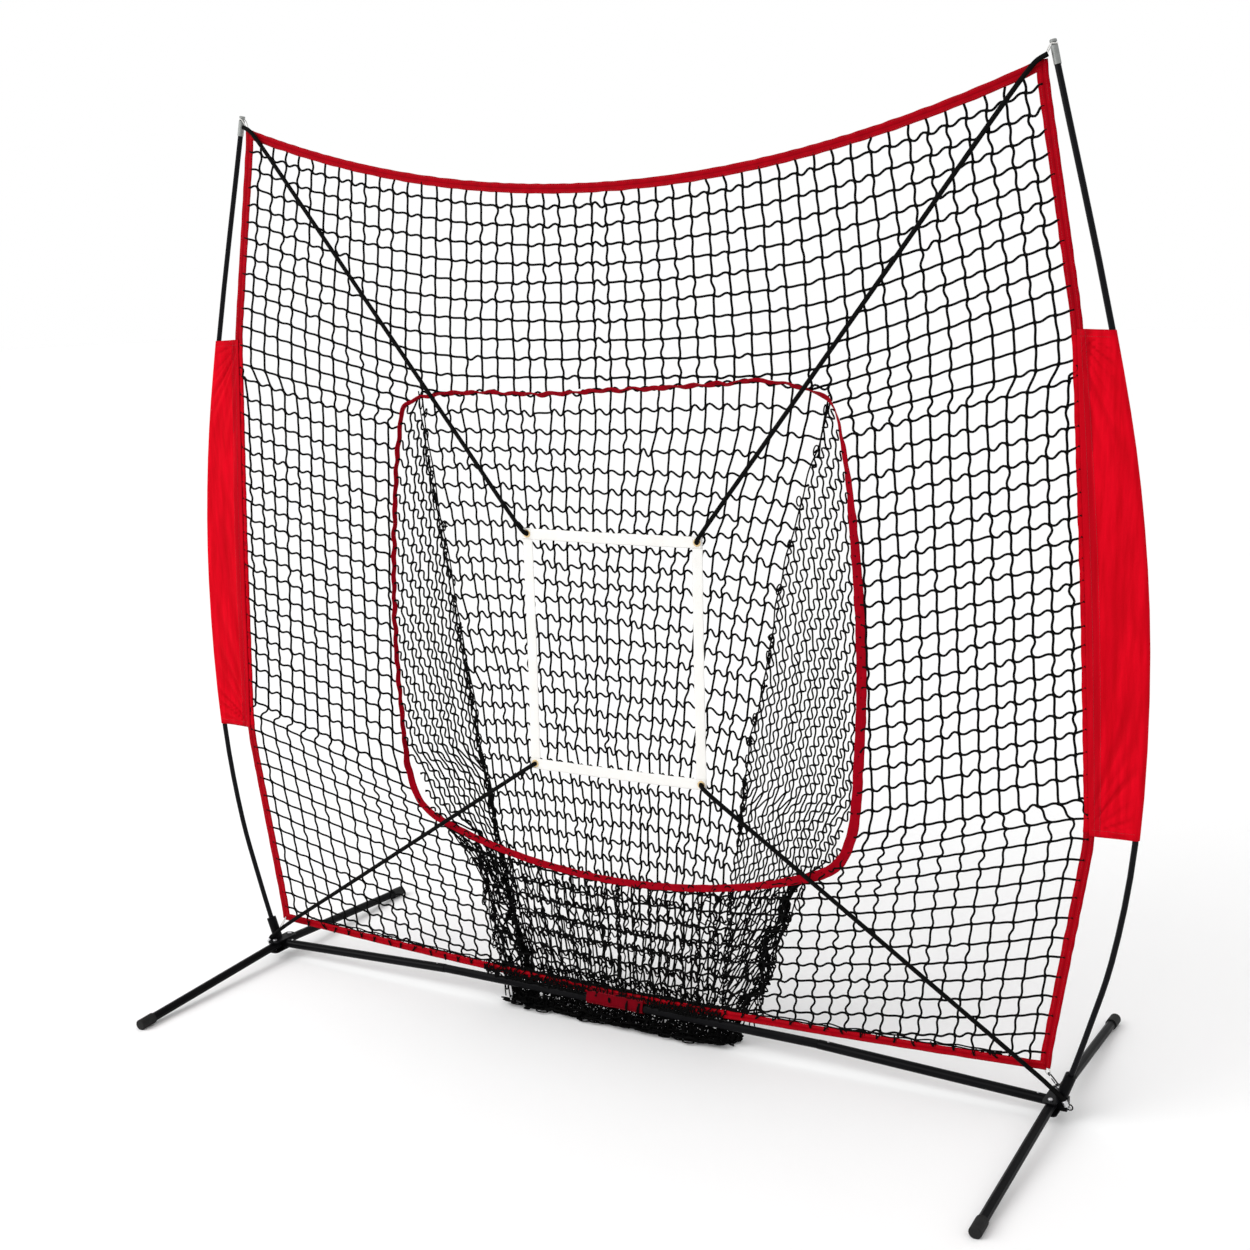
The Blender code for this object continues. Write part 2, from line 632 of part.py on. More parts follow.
def make_bindings():
    xs = stations(TOP_HALF_SPAN, 17)
    band = [(x, top_z(x)) for x in xs] + [(x, top_z(x) - TOP_WIDTH) for x in xs[::-1]]
    flat_piece("binding_top", [band], BINDING_HALF, "binding")
    xs = stations(LOW_HALF_SPAN, 13)
    band = [(x, bottom_z(x) + BOTTOM_HALF_WIDTH) for x in xs]
    band += [(x, bottom_z(x) - BOTTOM_HALF_WIDTH) for x in xs[::-1]]
    flat_piece("binding_bottom", [band], BINDING_HALF, "binding")
    for side in (-1, 1):
        outer = [(side * x, z) for x, z in SIDE_EDGE]
        inner = [(side * (x - BINDING_WIDTH), z) for x, z in SIDE_EDGE[::-1]]
        flat_piece("binding_" + side_name(side), [outer + inner], BINDING_HALF, "binding")


def make_wrap():
    long, bore = WRAP_HALF_LENGTH * 2, CENTER_TUBE_R + GAP
    profile = ((WRAP_R, long), (WRAP_R, 0.0), (bore, 0.0), (bore, long))
    turned("crossbar_wrap", profile, "fabric", (WRAP_MIDDLE_X - WRAP_HALF_LENGTH, 0, JOINT_Z),
           (1, 0, 0), closed=True, sides=16)


def make_sleeve(side):
    """Fabric sleeve: a channel round the pole that tapers to a flat panel at the net's edge."""
    outer, inner = [], []
    flat, thick = SLEEVE_FLAT_HALF, SLEEVE_NECK_HALF
    for z in np.linspace(SLEEVE_Z[0], SLEEVE_Z[1], 12):
        x, edge = pole_x(z), edge_x(z) + GAP
        around = [math.radians(a) for a in (110, 73, 36, 0, -36, -73, -110)]
        section = [(x + SLEEVE_R * math.cos(a), SLEEVE_R * math.sin(a)) for a in around]
        neck = x - SLEEVE_NECK
        section += [(neck, -thick), (edge, -flat), (edge, flat), (neck, thick)]
        turn = [math.radians(a) for a in (110, 73, 36, 0, -36, -73, -110, -142, -170, 170, 142)]
        channel = [(x + SLEEVE_BORE_R * math.cos(a), SLEEVE_BORE_R * math.sin(a)) for a in turn]
        outer.append([(side * px, y, z) for px, y in section])
        inner.append([(side * px, y, z) for px, y in channel])
    hollow_loft("sleeve_" + side_name(side), outer, inner, "fabric")


# ------------------------------------------------------------------ pocket
def make_pocket():
    flat_piece("pocket_rim", [rim_outline(RIM_HALF_WIDTH), rim_outline(-RIM_HALF_WIDTH)],
               RIM_HALF_THICK, "binding")
    rows = []
    for z, y, half in BACK_LINE:
        rows.append([(x, y, z) for x in np.linspace(-half, half, 7)])
    skin("pocket_back", rows, POCKET_THICK, "netting")
    make_pocket_front()
    box("pocket_bottom", *zip(*PILE), "netting")
    for side in (-1, 1):
        make_pocket_side(side)


def make_pocket_front():
    """The flat lower front, from just under the mouth down to the gathered netting."""
    low_rim = [p for p in RIM_LINE if p[1] < FRONT_TOP_Z][::-1]
    below = RIM_HALF_WIDTH + 0.008
    top = []
    for x in np.linspace(-FRONT_HALF, FRONT_HALF, 9):
        z = float(np.interp(abs(x), [p[0] for p in low_rim], [p[1] for p in low_rim]))
        top.append((x, z - below))
    low = PILE[2][1] + 0.002
    bottom = [(FRONT_LOW_HALF, low), (-FRONT_LOW_HALF, low)]
    flat_piece("pocket_front", [top + bottom], NET_HALF, "netting", FRONT_Y)


def make_pocket_side(side):
    """A side panel, from the mouth or the lower front's edge back to the back panel."""
    air = 0.004
    rows = []
    for z in SIDE_HEIGHTS:
        y, half = back_at(z)
        back = Vector((half + air, y))
        if z > FRONT_TOP_Z:
            front = Vector((rim_x(z) - 2 * RIM_HALF_WIDTH, air + RIM_HALF_THICK))
        else:
            half = float(np.interp(z, [p[0] for p in FRONT_EDGE], [p[1] for p in FRONT_EDGE]))
            front = Vector((half, FRONT_Y))
        middle = (front + back) / 2 + Vector((air, air))
        rows.append([(side * p.x, p.y, z) for p in (front, middle, back)])
    skin("pocket_side_" + side_name(side), rows, POCKET_THICK, "netting")


# ------------------------------------------------------------------ target and cords
def make_target():
    spots = {(side, end): (TARGET_X + side * GROMMET_DX, GROMMET_Z[end])
             for side in (-1, 1) for end in (0, 1)}

    def strip(name, low, high, kind, holes):
        outline = [(low[0], low[1]), (high[0], low[1]), (high[0], high[1]), (low[0], high[1])]
        rounds = []
        for hx, hz in holes:
            turns = [i * math.tau / 12 for i in range(12)]
            rounds.append([(hx + STRIP_HOLE_R * math.cos(a), hz + STRIP_HOLE_R * math.sin(a))
                           for a in turns])
        flat_piece(name, [outline] + rounds, STRIP_THICK / 2, "strip", STRIP_Y[kind])

    reach = STRIP_OVERHANG
    for side in (-1, 1):
        x = spots[side, 0][0]
        strip("target_" + side_name(side), (x - STRIP_HALF, GROMMET_Z[0] - reach),
              (x + STRIP_HALF, GROMMET_Z[1] + reach), "vertical",
              [spots[side, 0], spots[side, 1]])
    for end, tag in ((0, "bottom"), (1, "top")):
        z = GROMMET_Z[end]
        strip("target_" + tag, (spots[-1, end][0] - reach, z - STRIP_HALF),
              (spots[1, end][0] + reach, z + STRIP_HALF), "horizontal",
              [spots[-1, end], spots[1, end]])
    for (side, end), (x, z) in spots.items():
        make_grommet(f"grommet_{'top' if end else 'bottom'}_{side_name(side)}", x, z)


def make_grommet(name, x, z):
    """A rolled brass ring through both strips, with a flange on each face."""
    front, lip, roll = GROMMET_LENGTH, GROMMET_FLANGE, GROMMET_ROLL
    wide, barrel, hole = GROMMET_R, GROMMET_BARREL_R, GROMMET_HOLE_R
    profile = ((wide - roll, front), (wide, front - roll), (wide, front - lip),
               (barrel, front - lip), (barrel, lip), (wide, lip), (wide, roll),
               (wide - roll, 0.0), (hole + roll / 2, 0.0), (hole, roll), (hole, front - roll),
               (hole + roll / 2, front))
    turned(name, profile, "grommet", (x, GROMMET_BACK_Y, z), (0, -1, 0), closed=True, sides=16)


def make_cord(side, end):
    """Elastic cord from a target grommet to a pole tip, or down to the eye on a hub."""
    x, z = TARGET_X + side * GROMMET_DX, GROMMET_Z[end]
    far = CORD_ENDS[end]
    out = Vector((side * far[0][0] - x, 0, far[0][2] - z)).normalized()
    near = [(x, -0.0015, z), (x, -0.0080, z), (x, -0.0150, z),
            (x + out.x * 0.006, -0.0205, z + out.z * 0.006),
            (x + out.x * 0.020, -0.0235, z + out.z * 0.020)]
    last = Vector((side * far[0][0], far[0][1], far[0][2]))
    first = Vector(near[-1])
    middle = [first.lerp(last, t) for t in (0.25, 0.5, 0.75)]
    points = near + [tuple(p) for p in middle] + [(side * p[0], p[1], p[2]) for p in far]
    tag = "upper" if end else "lower"
    tube(f"cord_{tag}_{side_name(side)}", smooth_line(points, 3), CORD_R, "cord", resolution=2)


# ------------------------------------------------------------------ corner ties and snap hook
def make_top_tie(side):
    """White elastic from the net's top corner, round the groove of the pole tip and back."""
    gx, gz = TIP_TOP[0] + 0.0017, TIP_TOP[1] - 0.0079
    loop = TOP_TIE_LOOP_R
    points = [(1.0005, -0.0026, 2.1862), (1.0090, -0.0062, 2.2030)]
    for angle in (-110, -65, -20, 20, 65, 110):
        a = math.radians(angle)
        points.append((gx + loop * math.cos(a), loop * math.sin(a), gz))
    points += [(1.0090, 0.0062, 2.2030), (1.0005, 0.0026, 2.1862)]
    line = smooth_line([(side * x, y, z) for x, y, z in points], 2)
    tube("tie_top_" + side_name(side), line, TIE_R, "tie", resolution=1)


def make_loop_tie():
    """White elastic from the net's lower left corner through the hub's lug."""
    x, z = LUG_CENTER[0], LUG_CENTER[2]
    points = [(1.0440, -0.0040, 0.1160), (1.0580, -0.0042, 0.0980),
              (x - 0.0035, -0.0038, z + 0.0045), (x, 0.0, z + 0.0020),
              (x - 0.0035, 0.0038, z + 0.0045), (1.0580, 0.0042, 0.0980),
              (1.0440, 0.0040, 0.1160)]
    line = smooth_line([(-px, y, pz) for px, y, pz in points], 3)
    tube("tie_bottom_left", line, TIE_R, "tie", resolution=1)


def make_snap_hook():
    """Snap hook between the net's lower right corner and the hub's lug, with a sprung gate."""
    lug = Vector(LUG_CENTER)
    up = Vector(HOOK_UP)
    across = Vector((0.0, 1.0, 0.0))

    def at(a, b):
        return lug + up * a + across * b

    wide = HOOK_SIDE
    narrow = 0.8 * wide
    route = [(0.0085, -wide), (0.0040, -narrow), (0.0015, 0.0), (0.0040, narrow),
             (0.0085, wide), (0.0200, wide), (0.0262, narrow)]
    eye_a, eye_r = HOOK_EYE
    for angle in (60, 15, -30, -75, -120):
        a = math.radians(angle)
        route.append((eye_a + eye_r * math.cos(a), eye_r * math.sin(a)))
    tube("snap_hook", smooth_line([at(a, b) for a, b in route], 2), HOOK_R, "hook",
         resolution=2)
    tube("snap_hook_gate", [at(a, -wide) for a in GATE_ENDS], GATE_R, "hook",
         origin=at(GATE_PIVOT, -wide), resolution=2)
    make_hook_tie(at(eye_a, 0.0), up, across)


def make_hook_tie(eye, up, across):
    """White elastic from the net's lower right corner through the snap hook's eye."""
    cross = up.cross(across)
    points = [(1.0475, 0.0, 0.1162), eye - cross * 0.0044 + up * 0.0035, eye - up * 0.0002,
              eye + cross * 0.0044 + up * 0.0035, (1.0400, 0.0, 0.1162)]
    tube("tie_bottom_right", smooth_line(points, 4), THIN_TIE_R, "tie", resolution=1)


# ------------------------------------------------------------------ build
clear_scene()
PARTS = new_collection("pitching_target_net")
CUTTERS = new_collection("cutters")
CUTTERS.hide_render = True

make_crossbar()
make_net_face()
make_bindings()
make_wrap()
make_pocket()
make_target()
make_loop_tie()
make_snap_hook()
for hand in (-1, 1):
    make_hub(hand)
    make_pole(hand)
    make_sleeve(hand)
    make_top_tie(hand)
    for spot in ("hub", "mid"):
        make_button(hand, spot)
    for is_front in (True, False):
        make_leg(hand, is_front)
    for level in (0, 1):
        make_cord(hand, level)
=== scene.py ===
"""Looks for the pitching target net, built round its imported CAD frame.

Metres, +Z up. -Y is the thrower's side and +X is to the right as the thrower sees it.
"""

import json
import math

import bmesh
import bpy
import numpy as np
from mathutils import Matrix, Vector


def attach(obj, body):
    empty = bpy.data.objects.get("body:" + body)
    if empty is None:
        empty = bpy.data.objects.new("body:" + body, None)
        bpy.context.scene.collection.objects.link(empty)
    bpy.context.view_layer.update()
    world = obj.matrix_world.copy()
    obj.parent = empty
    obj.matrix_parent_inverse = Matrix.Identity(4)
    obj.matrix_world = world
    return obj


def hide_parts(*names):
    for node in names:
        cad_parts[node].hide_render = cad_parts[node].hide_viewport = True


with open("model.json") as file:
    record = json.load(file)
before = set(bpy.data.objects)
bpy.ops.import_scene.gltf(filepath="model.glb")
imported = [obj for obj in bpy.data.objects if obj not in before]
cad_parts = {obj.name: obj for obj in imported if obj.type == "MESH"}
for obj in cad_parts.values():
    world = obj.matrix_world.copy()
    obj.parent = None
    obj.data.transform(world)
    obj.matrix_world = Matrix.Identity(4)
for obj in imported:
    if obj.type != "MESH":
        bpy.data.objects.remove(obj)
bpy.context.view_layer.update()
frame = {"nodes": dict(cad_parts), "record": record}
RNG = np.random.default_rng(11)
SIDES = ((-1, "left"), (1, "right"))

# ---- dimensions shared with the CAD source
POLE_LINE = ((1.0838, 0.0610), (1.1000, 0.1055), (1.1380, 0.2285), (1.1780, 0.3735),
             (1.2180, 0.6335), (1.2270, 1.0335), (1.1990, 1.3635), (1.1430, 1.6705),
             (1.0265, 2.1675), (1.0180, 2.2065))
SIDE_EDGE = ((1.050, 0.117), (1.135, 0.640), (1.115, 1.130), (1.085, 1.670), (1.000, 2.185))
BINDING_WIDTH = 0.016
TOP_MID_Z, TOP_SAG, TOP_WIDTH, TOP_HALF_SPAN = 2.0055, 0.180, 0.022, 0.994
BOTTOM_MID_Z, BOTTOM_RISE, BOTTOM_HALF_WIDTH, LOW_HALF_SPAN = 0.0825, 0.034, 0.009, 1.046
WRAP_SPAN, WRAP_MIDDLE, WRAP_R, BAR_Z = (-0.091, 0.066), -0.0125, 0.0128, 0.0595
SLEEVE_Z = (0.640, 1.670)
RIM_LINE = ((0.000, 1.549), (0.300, 1.549), (0.500, 1.545), (0.556, 1.520), (0.585, 1.420),
            (0.610, 1.220), (0.625, 0.980), (0.620, 0.760), (0.600, 0.560), (0.560, 0.488),
            (0.450, 0.440), (0.250, 0.393), (0.000, 0.373))
TARGET_X, GROMMET_DX, GROMMET_Z = 0.012, 0.2255, (0.6455, 1.2085)
STRIP_HALF, STRIP_OVERHANG, STRIP_THICK = 0.013, 0.013, 0.0016
UPRIGHT_STRIP_Y, LEVEL_STRIP_Y = -0.0100, -0.0120
CORD_R, TIE_R, HOOK_TIE_R = 0.0052, 0.0012, 0.0010
CORD_FAR = (((1.000, -0.0190, 0.1220), (1.050, -0.0187, 0.0870), (1.0725, -0.0185, 0.0690),
             (1.0870, -0.0185, 0.0580), (1.0955, -0.0185, 0.0440)),
            ((0.930, -0.0100, 2.1130), (0.965, -0.0097, 2.1560), (0.988, -0.0094, 2.1800),
             (1.0085, -0.0088, 2.1905)))
LUG_CENTER = (1.0735, 0.0, 0.0745)
LUG_UP = (-0.643, 0.0, 0.766)
TIP_TOP = (1.0155, 2.2175)

# ---- netting
TWINE_R, POCKET_TWINE_R, FINE_TWINE_R, LOW_TWINE_R = 0.0028, 0.0026, 0.0018, 0.0026
SIDE_TWINE_R = {-1: 0.0025, 1: 0.0021}
LINK, TOP_LINK, POCKET_LINK = 0.0452, 0.0443, 0.0475     # twine along one side of a mesh
KNOT_SWELL = 1.38
LINK_STEPS = 8
LINK_SPREAD, LONGEST_BOW = 0.010, 0.012
TOP_PITCH, TOP_FIRST, TOP_ROWS_BELOW, TOP_ROWS = 0.0444, 0.0195, 3, 15
SIDE_PITCH, SIDE_ROWS, SIDE_COLUMNS = 0.0405, 21, 13
LOW_PITCH, LOW_ROWS = 0.0453, 14
FACE_COLUMNS = 25
# seams between the face's panels: height at the outer end, slope, x of the outer end
HIGH_SEAM, LOW_SEAM = (1.607, 0.245, 1.07), (0.680, 0.290, 1.12)
FACE_WOBBLE = 0.0009         # spread of the knots about their places
INTO_BINDING = 0.004
TOP_ROW_Z, TOP_ROW_PITCH, TOP_ROW_RISE = 1.572, 0.0425, 0.32
RIM_TOP_WAVE = ((-0.483, -0.017), (-0.338, -0.010), (-0.171, -0.015), (-0.009, -0.005),
                (0.133, 0.001), (0.246, 0.008), (0.319, 0.012), (0.379, 0.019),
                (0.450, 0.011), (0.513, 0.003))

# ---- pocket: its folds, the edges of its lower front and the lines its side columns follow
FOLD = {-1: ((-0.517, 0.004, 1.541), (-0.509, 0.014, 1.404), (-0.494, 0.024, 1.256),
             (-0.474, 0.033, 1.099), (-0.455, 0.044, 0.921), (-0.436, 0.050, 0.793),
             (-0.423, 0.057, 0.653), (-0.403, 0.064, 0.533), (-0.389, 0.071, 0.417),
             (-0.370, 0.076, 0.303), (-0.348, 0.080, 0.179), (-0.324, 0.083, 0.092),
             (-0.308, 0.083, 0.012)),
        1: ((0.548, 0.004, 1.537), (0.533, 0.010, 1.469), (0.504, 0.016, 1.382),
            (0.473, 0.021, 1.293), (0.438, 0.028, 1.180), (0.413, 0.034, 1.088),
            (0.383, 0.043, 0.940), (0.351, 0.050, 0.810), (0.324, 0.055, 0.704),
            (0.307, 0.060, 0.597), (0.290, 0.067, 0.486), (0.270, 0.072, 0.400),
            (0.253, 0.077, 0.271), (0.241, 0.081, 0.153), (0.233, 0.082, 0.012))}
FRONT_EDGE = {-1: ((-0.516, 0.006, 0.454), (-0.437, 0.010, 0.385), (-0.390, 0.014, 0.286),
                   (-0.376, 0.016, 0.161), (-0.351, 0.017, 0.078), (-0.345, 0.017, 0.010)),
              1: ((0.520, 0.006, 0.464), (0.480, 0.010, 0.440), (0.428, 0.014, 0.305),
                  (0.389, 0.017, 0.201), (0.347, 0.017, 0.119), (0.300, 0.017, 0.010))}
COLUMN_GUIDE = {-1: ((-0.585, 0.640), (-0.566, 0.560), (-0.540, 0.470), (-0.500, 0.380),
                     (-0.455, 0.280), (-0.425, 0.160), (-0.395, 0.010)),
                1: ((0.590, 0.640), (0.577, 0.540), (0.560, 0.440), (0.520, 0.305),
                    (0.470, 0.200), (0.420, 0.110), (0.360, 0.010))}
# layers of the heap on the ground, each as (y, z) from back to front
HEAP_PROFILES = (
    ((0.090, 0.030), (0.078, 0.006), (0.052, 0.004), (0.024, 0.005), (0.000, 0.004),
     (-0.008, 0.004)),
    ((0.086, 0.050), (0.068, 0.028), (0.040, 0.018), (0.018, 0.014), (0.002, 0.010),
     (-0.006, 0.007)),
    ((0.030, 0.062), (0.022, 0.046), (0.014, 0.036), (0.004, 0.028), (-0.003, 0.016),
     (-0.006, 0.006)),
    ((0.010, 0.110), (0.017, 0.088), (0.018, 0.066), (0.014, 0.046), (0.004, 0.030),
     (-0.004, 0.014)),
)
HEAP_COLUMNS, HEAP_LINK, HEM_LINK = 34, 0.026, 0.024
HEAP_X, HEAP_Y, HEAP_LOW_Z = (-0.322, 0.270), (-0.005, 0.096), 0.003
HEAP_NOISE = (0.007, 0.0040, 0.0045)
HEM_X, HEM_ROW_STEP, HEM_NOISE = (-0.385, 0.262), 0.0150, (0.0045, 0.0006, 0.0035)
BACK_COLUMNS, BACK_ROWS, BACK_PITCH = 26, 33, 0.046
SIDE_NET_COLUMNS, SIDE_NET_ROWS, SIDE_NET_PITCH = 16, 38, 0.0443
FRONT_COLUMNS, FRONT_ROWS = 36, 8
CORNER_Z = 0.455             # the mouth's low corner
POCKET_TOP_Z = 1.542
FLOOR_CLEAR = 0.0038
WRAP_CLEAR = 0.003
LOOP = np.linspace(0, math.tau, 13)     # round a small loop of twine
# width, depth and spacing of the loops left of the pocket, under it and right of it
HEM_LOOPS = (((0.010, 0.020), (0.013, 0.022), (0.038, 0.048)),
             ((0.010, 0.026), (0.020, 0.046), (0.006, 0.012)),
             ((0.008, 0.015), (0.006, 0.013), (0.036, 0.050)))

# ---- tapes, sleeves and thread
TAPE_ACROSS = (-1.0, -0.90, -0.50, -0.10, 0.0, 0.10, 0.50, 0.90, 1.0)
TAPE_HEIGHT = (0.35, 0.92, 1.0, 0.92, 0.62, 0.92, 1.0, 0.92, 0.35)
TAPE_SEAM = (0.25, 0.0, 0.0, 0.4, 1.0, 0.4, 0.0, 0.0, 0.25)
STRIP_PROFILE = (0.30, 0.90, 1.0, 1.0, 1.0, 1.0, 1.0, 0.90, 0.30)
TAPE_HALF_THICK, SIDE_TAPE_HALF_THICK, FACING_HALF_THICK = 0.0021, 0.0019, 0.0024
SIDE_TAPE_HALF, FACING_HALF = BINDING_WIDTH / 2 + 0.0040, BINDING_WIDTH / 2 + 0.0046
TOP_DASHES, LOW_DASHES, SIDE_DASHES = 0.0078, 0.0062, 0.0056     # from the tape's middle
THREAD_R, DASH, DASH_GAP, FIRST_DASH = 0.00032, 0.0034, 0.0016, 0.003
DASH_LIFT = np.array([-0.0003, 0.0001, 0.0001, -0.0003])
SLEEVE_ROWS, SLEEVE_CHANNEL_R, SLEEVE_EDGE_HALF = 150, 0.0084, 0.0026
SLEEVE_CLOTH, WRAP_CLOTH, HEM_WIDTH = 0.0007, 0.0012, 0.024
RIM_STEP = 0.005
TO_FRONT = (0.0, -1.0, 0.0)

# ---- camera and light
CAMERA_AT = (1.973, -3.413, 1.7615)
CAMERA_YAW, CAMERA_PITCH, CAMERA_ROLL = 29.53, 10.93, -1.51
CAMERA_LENS = 49.50
WORLD_LIGHT, SUN_STRENGTH, SUN_ANGLE = 0.86, 1.00, 32.0
FILL_SIZE, FILL_POWER = 2.4, 55.0
SUN_AT, FILL_AT, LIGHT_AIM = (-3.2, -5.0, 5.4), (-3.4, -2.8, 3.0), (0, 0, 1.0)
FLOOR_HALF = 60.0


def make_camera():
    yaw, pitch, roll = (math.radians(a) for a in (CAMERA_YAW, CAMERA_PITCH, CAMERA_ROLL))
    ahead = Vector((-math.sin(yaw) * math.cos(pitch), math.cos(yaw) * math.cos(pitch),
                    -math.sin(pitch)))
    level = Vector((math.cos(yaw), math.sin(yaw), 0))
    upright = level.cross(ahead)
    right = level * math.cos(roll) + upright * math.sin(roll)
    up = upright * math.cos(roll) - level * math.sin(roll)
    data = bpy.data.cameras.new("camera")
    data.lens = CAMERA_LENS
    data.sensor_width = 36.0
    camera = bpy.data.objects.new("camera", data)
    bpy.context.scene.collection.objects.link(camera)
    camera.matrix_world = Matrix.Translation(CAMERA_AT) @ Matrix(
        [[right[i], up[i], -ahead[i]] for i in range(3)]).to_4x4()
    bpy.context.scene.camera = camera


make_camera()


# ---- materials
class Nodes:
    """Small helper that adds nodes to one material's tree."""

    def __init__(self, name, color, roughness, **fixed):
        self.material = bpy.data.materials.new(name)
        self.material.use_nodes = True
        self.tree = self.material.node_tree
        self.shader = self.tree.nodes["Principled BSDF"]
        self.shader.inputs["Base Color"].default_value = (*color, 1.0)
        self.shader.inputs["Roughness"].default_value = roughness
        for key, value in fixed.items():
            self.shader.inputs[key.replace("_", " ")].default_value = value

    def feed(self, node, socket, value):
        """Links a socket to an output, or sets it to a number or a colour."""
        if isinstance(value, bpy.types.NodeSocket):
            self.tree.links.new(value, node.inputs[socket])
        else:
            node.inputs[socket].default_value = value

    def add(self, kind, **inputs):
        node = self.tree.nodes.new(kind)
        for key, value in inputs.items():
            self.feed(node, key, value)
        return node

    def attribute(self, name):
        node = self.add("ShaderNodeAttribute")
        node.attribute_name = name
        return node.outputs["Fac"]

    def math(self, operation, a, b=0.0):
        node = self.add("ShaderNodeMath")
        node.operation = operation
        self.feed(node, 0, a)
        self.feed(node, 1, b)
        return node.outputs[0]

    def wave(self, value, rate):
        return self.math("SINE", self.math("MULTIPLY", value, rate))

    def noise(self, scale, detail=3.0, vector=None):
        vector = vector or self.add("ShaderNodeTexCoord").outputs["Object"]
        return self.add("ShaderNodeTexNoise", Scale=scale, Detail=detail, Roughness=0.55,
                        Vector=vector).outputs["Fac"]

    def scaled(self, sx, sy, sz, turn=(0, 0, 0)):
        spot = self.add("ShaderNodeTexCoord").outputs["Object"]
        return self.add("ShaderNodeMapping", Vector=spot, Scale=(sx, sy, sz),
                        Rotation=turn).outputs["Vector"]

    def span(self, value, low, high, out_low=0.0, out_high=1.0):
        node = self.add("ShaderNodeMapRange", Value=value)
        for i, number in enumerate((low, high, out_low, out_high)):
            self.feed(node, 1 + i, number)
        return node.outputs["Result"]

    def mix(self, factor, a, b):
        node = self.add("ShaderNodeMix")
        node.data_type = "RGBA"
        for index, value in ((0, factor), (6, a), (7, b)):
            self.feed(node, index, (*value, 1.0) if isinstance(value, tuple) else value)
        return node.outputs[2]

    def color(self, out):
        self.feed(self.shader, "Base Color", out)

    def rough(self, value, low, high, out_low, out_high):
        self.feed(self.shader, "Roughness", self.span(value, low, high, out_low, out_high))

    def bump(self, height, distance, strength=1.0, under=None):
        node = self.add("ShaderNodeBump", Height=height, Distance=distance, Strength=strength)
        if under is not None:
            self.feed(node, "Normal", under)
        self.feed(self.shader, "Normal", node.outputs["Normal"])
        return node.outputs["Normal"]


def shade(color, factor):
    return tuple(min(c * factor, 1.0) for c in color)


def worn(name, base, rough, tone_noise, tone_span, colors, rough_span, grain, bump, **fixed):
    """A surface mottled by one noise in colour and roughness, with a grain in relief.

    Noises are (scale, detail), spans are (low, high) of the mottle, colors are (dark, light),
    rough_span adds the roughness at either end, and bump is (height, strength).
    """
    m = Nodes(name, base, rough, **fixed)
    tone = m.noise(*tone_noise)
    factor = m.span(tone, *tone_span) if tone_span else tone
    m.color(m.mix(factor, *colors))
    m.rough(tone, *rough_span)
    vector = m.scaled(*grain[2]) if len(grain) > 2 else None
    m.bump(m.noise(grain[0], grain[1], vector), *bump)
    return m.material


def metals_and_plastics():
    return {
        "frame": worn("powder_coat", (0.005, 0.005, 0.006), 0.40, (14.0, 4.0), (0.35, 0.75),
                      ((0.0022, 0.0022, 0.0027), (0.0050, 0.0050, 0.0058)),
                      (0.3, 0.8, 0.30, 0.46), (900.0, 2.0), (0.00012, 0.5),
                      Specular_IOR_Level=0.05),
        "bolt": worn("zinc_plate", (0.62, 0.62, 0.64), 0.32, (260.0, 3.0), None,
                     ((0.48, 0.48, 0.50), (0.74, 0.74, 0.76)),
                     (0.3, 0.7, 0.24, 0.42), (260.0, 3.0), (0.00005, 0.5), Metallic=1.0),
        "tip": worn("grey_ferrule", (0.24, 0.25, 0.245), 0.42, (90.0, 4.0), None,
                    ((0.19, 0.20, 0.19), (0.33, 0.34, 0.335)), (0.3, 0.7, 0.36, 0.52),
                    (1.0, 2.0, (60.0, 60.0, 2600.0)), (0.00006, 0.6), Metallic=0.75),
        "cap": worn("rubber", (0.008, 0.008, 0.008), 0.72, (40.0, 5.0), (0.5, 0.8),
                    ((0.007, 0.007, 0.007), (0.020, 0.0195, 0.019)),
                    (0.3, 0.8, 0.66, 0.85), (520.0, 4.0), (0.00015, 0.6),
                    Specular_IOR_Level=0.25),
        "grommet": worn("brass_eyelet", (0.80, 0.58, 0.28), 0.28, (420.0, 4.0), (0.35, 0.75),
                        ((0.86, 0.66, 0.36), (0.56, 0.38, 0.17)),
                        (0.3, 0.7, 0.22, 0.40), (420.0, 4.0), (0.00004, 0.5), Metallic=1.0),
        "hook": worn("hook_coat", (0.016, 0.016, 0.017), 0.34, (150.0, 4.0), (0.55, 0.8),
                     ((0.013, 0.013, 0.014), (0.07, 0.07, 0.07)), (0.3, 0.8, 0.28, 0.44),
                     (1200.0, 2.0), (0.00005, 0.5), Coat_Weight=0.2, Coat_Roughness=0.2),
    }


def fibreglass():
    m = Nodes("fibreglass_rod", (0.004, 0.004, 0.005), 0.30, Specular_IOR_Level=0.05,
              Coat_Weight=0.02, Coat_Roughness=0.16)
    fibre = m.noise(1.0, 3.0, m.scaled(1400.0, 1400.0, 40.0))
    m.color(m.mix(fibre, (0.0025, 0.0025, 0.0032), (0.0070, 0.0070, 0.0085)))
    m.rough(fibre, 0.3, 0.7, 0.24, 0.36)
    m.bump(fibre, 0.00008, 0.5)
    return m.material


def weave_height(m, pitch, turn=(0, 0, 0)):
    """Over-and-under threads of a plain weave, as a height from 0 to 1."""
    spot = m.scaled(1.0 / pitch, 1.0 / pitch, 1.0 / pitch, turn)
    split = m.add("ShaderNodeSeparateXYZ", Vector=spot)
    across = m.wave(split.outputs["X"], math.pi)
    along = m.wave(split.outputs["Z"], math.pi)
    return m.span(m.math("MULTIPLY", across, along), -1.0, 1.0)


